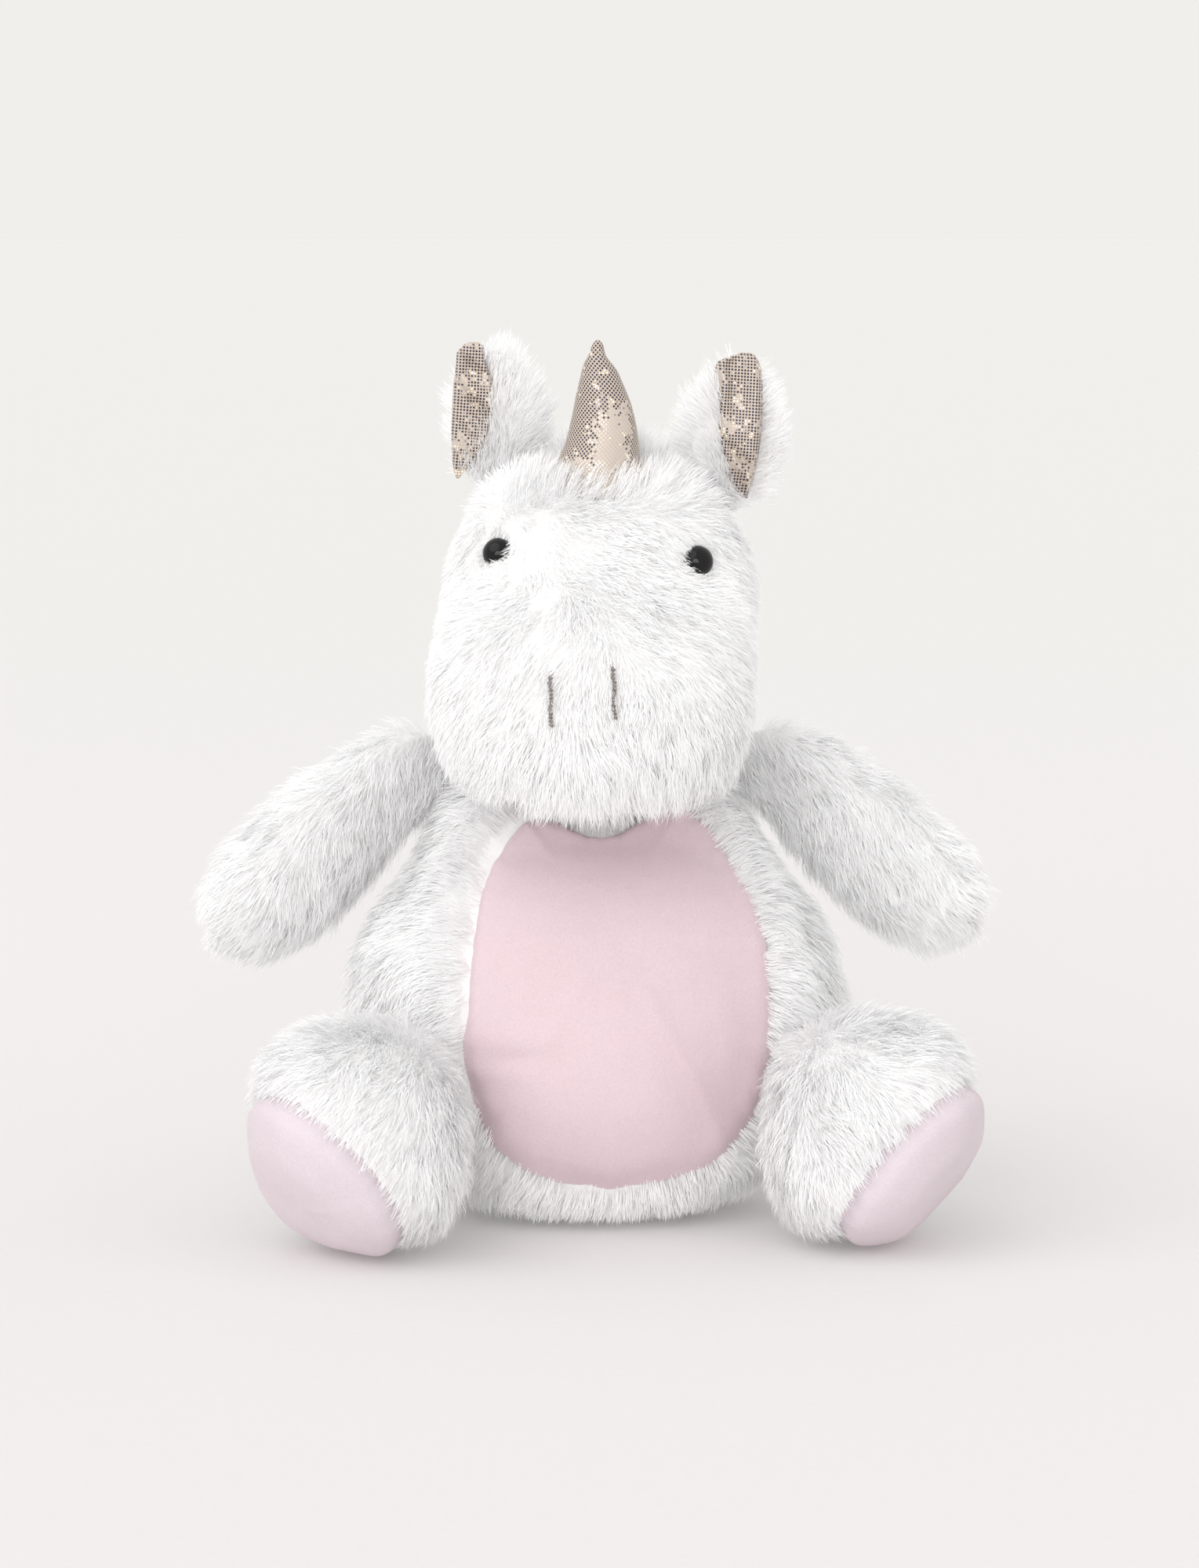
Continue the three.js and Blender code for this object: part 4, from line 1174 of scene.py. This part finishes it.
def lining_cloth(side, nodes):
    """A leaf of cloth on the front of the ear, folded, with its rim turned back under the fur."""
    tree = tree_of(*nodes)
    low, high = box(f"ear_lining_{side}")
    tall = high[2] - low[2]
    _, _, above, reach_down = LINING_PLACE[side]
    rows, columns = 88, 32
    t = np.linspace(0, 1, rows + 1)
    u = np.linspace(-1, 1, columns + 1)
    z = high[2] + above * tall - t * reach_down * tall
    left, right, _ = lining_edges(side, z)
    across, down = np.meshgrid(u, t)
    x = ((left + right) / 2)[:, None] + ((right - left) / 2)[:, None] * across
    height = np.repeat(z[:, None], columns + 1, axis=1)
    front = np.full(x.shape, np.nan)
    for i in range(rows + 1):
        for j in range(columns + 1):
            before = Vector((x[i, j], low[1] - 30 * MM, height[i, j]))
            hit = tree.ray_cast(before, Vector((0, 1, 0)), 100 * MM)
            if hit[0] is not None:
                front[i, j] = hit[0].y
    known = ~np.isnan(front).all(axis=1)
    line = np.interp(t, t[known], np.nanmedian(front[known], axis=1))
    front = np.where(np.isnan(front), line[:, None], front)
    corners = np.stack([x.ravel(), front.ravel(), height.ravel()], axis=1)
    faces = [(i * (columns + 1) + j, (i + 1) * (columns + 1) + j, (i + 1) * (columns + 1) + j + 1,
              i * (columns + 1) + j + 1) for i in range(rows) for j in range(columns)]
    obj = new_object(f"ear_foil_{side}", corners, faces)
    corners[:, 1] = relaxed(corners[:, 1], edges_of(obj), 25)
    u, t = across.ravel(), down.ravel()
    rim = np.maximum(np.abs(u), np.abs(2 * t - 1) ** 3)
    corners[:, 1] += ramp(rim, 0.72, 1.0) ** 2 * 3.4 * MM
    corners[:, 1] -= (0.5 + 1.35 * lining_folds(side, u, t) * (1 - rim**4)) * MM
    set_points(obj, corners)
    layer = obj.data.uv_layers.new(name="cloth")
    for loop in obj.data.loops:
        point = corners[loop.vertex_index]
        layer.data[loop.index].uv = (point[0] / MM, point[2] / MM)
    return obj


for number, side in enumerate(SIDES):
    body = f"ear_{side}"
    nodes = [f"ear_back_{side}", f"ear_lining_{side}"]
    ear_low = box(f"ear_back_{side}")[0]

    def rooted(points, low=ear_low):
        """Draws the foot of the ear down into the skin of the head."""
        foot = 1 - ramp(points[:, 2], low[2] + 3 * MM, low[2] + 16 * MM)
        return points + foot[:, None] * np.array([0, 1.5 * MM, -11 * MM])

    ear, _ = skin(f"ear_plush_{side}", nodes, 4.0 * MM, 4, smooth=2, pull=rooted)
    declared(ear, BACKING, "white_plush", body, nodes[0], fill=0.5)
    declared(lining_cloth(side, nodes), EAR_FOIL, "foil_fabric", body, nodes[1])
    lining_back = box(f"ear_lining_{side}")[1, 1]

    def ear_keep(points, normals, side=side, back=lining_back):
        """Not under the lining, but over its rim."""
        left, right, share = lining_edges(side, points[:, 2])
        rim = 0.7 * MM
        inside = (points[:, 0] > left + rim) & (points[:, 0] < right - rim)
        inside &= (share > -0.02) & (share < 1.02)
        return ~(inside & (normals[:, 1] < 0.25) & (points[:, 1] < back + 6 * MM))

    def ear_comb(points, normals, side=side):
        left, right, _ = lining_edges(side, points[:, 2])
        away = np.sign(points[:, 0] - (left + right) / 2)
        comb = np.broadcast_to([0, 0.35, 0.9], points.shape).copy()
        comb[:, 0] = np.where(away * points[:, 0] > 0, 1.1, 0.45) * away
        return comb

    coat = {
        **FINE, "tufts": 34, "length": 9.5 * MM, "lean": 0.8, "comb": ear_comb, "keep": ear_keep,
    }
    grow(f"ear_fur_{side}", ear, body, coat, 51 + number)

# ---------------------------------------------------------------- arms


def sunk_root(root, hand_way):
    """Draws the root end of an arm into the shoulder that it is sewn to."""
    inward = np.array([-np.sign(root[0]) * 9 * MM, 0, 1.5 * MM])

    def pull(points):
        share = ramp((root - points) @ hand_way, -26 * MM, 0)
        return points + share[:, None] * inward

    return pull


for number, side in enumerate(SIDES):
    body = f"arm_{side}"
    nodes = [f"arm_back_panel_{side}", f"arm_front_panel_{side}", f"arm_stuffing_{side}"]
    core = node_mesh(nodes[2])[0]
    axes, _ = main_axes(core)
    hand_way = axes[0] if axes[0][2] < 0 else -axes[0]
    outer = node_mesh(*nodes)[0]
    root_point = outer[((outer - core.mean(0)) @ hand_way).argmin()]
    pull = sunk_root(root_point, hand_way)
    arm, _ = skin(f"arm_plush_{side}", nodes, 4.0 * MM, 5, smooth=3, pull=pull)
    declared(arm, BACKING, "white_plush", body, *nodes, fill=0.6)
    coat = {
        **FINE, "length": 10.5 * MM, "lean": 1.05, "comb": toward(hand_way + 0.45 * DOWN),
    }
    grow(f"arm_fur_{side}", arm, body, coat, 61 + number)

# ---------------------------------------------------------------- legs


def sole_shape(u, angle, points):
    """A padded velour sole that rounds over into its seam, gathered here and there."""
    edge = ramp(u, 0.74, 1.0) ** 1.7 * 5.8 * MM
    pucker = np.sin(angle * 30 + 1.2 * np.sin(angle * 5)) * np.exp(-((u - 0.92) / 0.06) ** 2)
    return edge + 0.6 * MM + pucker * 0.35 * MM + waves(points, 27, 34 * MM, 2) * 0.5 * MM


for number, side in enumerate(SIDES):
    body = f"leg_{side}"
    nodes = [f"{kind}_{side}" for kind in ("leg_top_panel", "leg_under_panel", "sole_pad",
                                           "leg_stuffing")]
    leg, leg_centre = skin(f"leg_plush_{side}", nodes, SKIN_DEPTH, 5, smooth=3)
    declared(leg, BACKING, "white_plush", body, nodes[0], nodes[1], nodes[3], fill=0.75)
    sole_tree = tree_of(nodes[2])
    sole, sole_polar, sole_way = patch(
        f"sole_velour_{side}", nodes[2], leg_centre, 26, sole_shape, lambda angle: 1.06)
    inflate(sole, (sole_polar[:, 0] > 0.8) | (sole_polar[:, 0] < 0.03), pressure=2.0, cap=0.8 * MM)
    declared(subdivided(sole), SOLE_VELOUR, "pink_velour", body, nodes[2], fill=0.7)
    sole_middle = middle(nodes[2])

    def leg_keep(points, normals, tree=sole_tree, centre=leg_centre, at=sole_middle):
        """Not under the sole."""
        return ~covers(tree, centre, points - unit(points - at) * 4 * MM)

    def leg_size(points, at=sole_middle, way=sole_way):
        """Shorter where it meets the sole."""
        return 0.62 + 0.38 * ramp((at - points) @ way, 2 * MM, 16 * MM)

    coat = {
        **FINE, "length": 10.5 * MM, "lean": 1.05, "keep": leg_keep, "size": leg_size,
        "comb": toward(sole_way + 0.55 * DOWN),
    }
    grow(f"leg_fur_{side}", leg, body, coat, 71 + number)

# ---------------------------------------------------------------- tail

tail, _ = skin("tail_plush", ["tail_tuft"], 6 * MM, 4, smooth=2)
declared(tail, BACKING, "white_plush", "tail", "tail_tuft", fill=0.5)
TAIL_COAT = {
    **FINE, "length": 17 * MM, "lean": 0.95, "comb": toward([0, 0.25, -1.0]), "stray": 0.35,
}
grow("tail_fur", tail, "tail", TAIL_COAT, 81)

# ---------------------------------------------------------------- label and carried-over pieces


def folded_label():
    """A ribbon folded double at its outer edge, slightly cupped."""
    low, high = box("sewn_in_label")
    mid = (low + high) / 2
    size = high - low
    rows, columns = 24, 10
    corners, faces = [], []
    for r in range(rows + 1):
        t = r / rows
        around = math.pi * (t - 0.5)
        for c in range(columns + 1):
            s = c / columns - 0.5
            straight = max(0.0, abs(t - 0.5) - 0.08) / 0.42
            x = low[0] + size[0] * (0.02 + 0.98 * straight)
            y = mid[1] + math.copysign(0.55 * MM, t - 0.5) * min(1, abs(t - 0.5) / 0.08)
            y += 0.5 * MM * math.cos(2.4 * s) + 0.3 * MM * math.sin(5 * straight)
            corners.append((x, y, mid[2] + s * size[2]))
    for r in range(rows):
        for c in range(columns):
            a = r * (columns + 1) + c
            faces.append((a, a + 1, a + columns + 2, a + columns + 1))
    return new_object("label_ribbon", corners, faces)


label = folded_label()
thick = label.modifiers.new("thick", "SOLIDIFY")
thick.thickness = 0.25 * MM
applied(label, thick)
declared(label, RIBBON, "label_ribbon", "torso", "sewn_in_label")

for side in SIDES:
    recoloured(f"eye_washer_{side}", NYLON)
recoloured("pellet_pouch", COTTON)
recoloured("pellet_fill", BEADS)
for name in ("back_closing_stitches", "neck_seam_thread"):
    recoloured(name, WHITE_THREAD)

# ---------------------------------------------------------------- stage, light, camera

HORIZON = (0.872, 0.863, 0.833)
OVERHEAD = (0.92, 0.915, 0.91)
FRONT_SUN = 1.32
KEY_SUN = 0.72
FLOOR_HALF = 60.0
FLOOR_GLOW = 0.13  # light that the paper gives back from a studio that isn't modelled


def floor():
    """A pale paper floor, whose far part has the colour of the horizon."""
    corners = [(-1, -1, 0), (1, -1, 0), (1, 1, 0), (-1, 1, 0)]
    obj = new_object("floor", np.array(corners) * FLOOR_HALF, [(0, 1, 2, 3)])
    mat, tree, shader = material("paper_floor", (0.70, 0.695, 0.68), 0.9, Specular_IOR_Level=0.1)
    grain = noise(tree, 300.0, 3.0)
    near_toy = blended(
        tree, spread(tree, grain, 0.3, 0.7), (0.662, 0.645, 0.647), (0.671, 0.655, 0.657))
    away = node(tree, "ShaderNodeVectorMath", {0: place(tree)}, operation="LENGTH").outputs[1]
    color = blended(tree, spread(tree, away, 0.7, 2.6), near_toy, (0.651, 0.648, 0.630))
    feed(tree, shader, Base_Color=color)
    shader.inputs["Emission Color"].default_value = (1.0, 0.99, 0.95, 1)
    shader.inputs["Emission Strength"].default_value = FLOOR_GLOW
    wear(obj, mat)


def looking_from(azimuth, elevation):
    """The way from the toy to the viewer, in degrees. 0, 0 is level in front of the toy, and a
    positive azimuth is to its left hand. Also the turn of a camera or a lamp that stands there."""
    a, e = math.radians(azimuth), math.radians(elevation)
    back = Vector((math.sin(a) * math.cos(e), -math.cos(a) * math.cos(e), math.sin(e)))
    return back, (-back).to_track_quat("-Z", "Y")


def sun(name, azimuth, elevation, angle, strength, color):
    """A soft light from far away."""
    data = bpy.data.lights.new(name, "SUN")
    data.angle = math.radians(angle)
    data.energy = strength
    data.color = color
    obj = in_scene(name, data)
    obj.rotation_mode = "QUATERNION"
    obj.rotation_quaternion = looking_from(azimuth, elevation)[1]


def light():
    """A pale studio: bright all round and overhead, with two soft lights from the left."""
    world = bpy.data.worlds.new("studio")
    world.use_nodes = True
    tree = world.node_tree
    background = tree.nodes["Background"]
    way = node(tree, "ShaderNodeTexCoord").outputs["Generated"]
    height = node(tree, "ShaderNodeSeparateXYZ", {0: way}).outputs[2]
    color = blended(tree, spread(tree, height, 0.16, 0.45), HORIZON, OVERHEAD)
    tree.links.new(color, background.inputs["Color"])
    bpy.context.scene.world = world
    sun("front_softbox", -13, 4, 44, FRONT_SUN, (1.0, 0.995, 0.99))
    sun("upper_left_softbox", -55, 48, 60, KEY_SUN, (1.0, 0.99, 0.98))


def camera():
    data = bpy.data.cameras.new("camera")
    data.sensor_width = 36.0
    data.lens = 106.56
    data.clip_start = 0.05
    data.clip_end = 200.0
    obj = in_scene("camera", data)
    back, turn = looking_from(-5, 7)
    obj.location = Vector((0, 0, 0.140)) + back * 1.5
    obj.rotation_mode = "QUATERNION"
    obj.rotation_quaternion = turn
    bpy.context.scene.camera = obj


floor()
light()
camera()
scene = bpy.context.scene
scene.view_settings.view_transform = "Standard"
scene.cycles.diffuse_bounces = 8
scene.cycles.max_bounces = 10
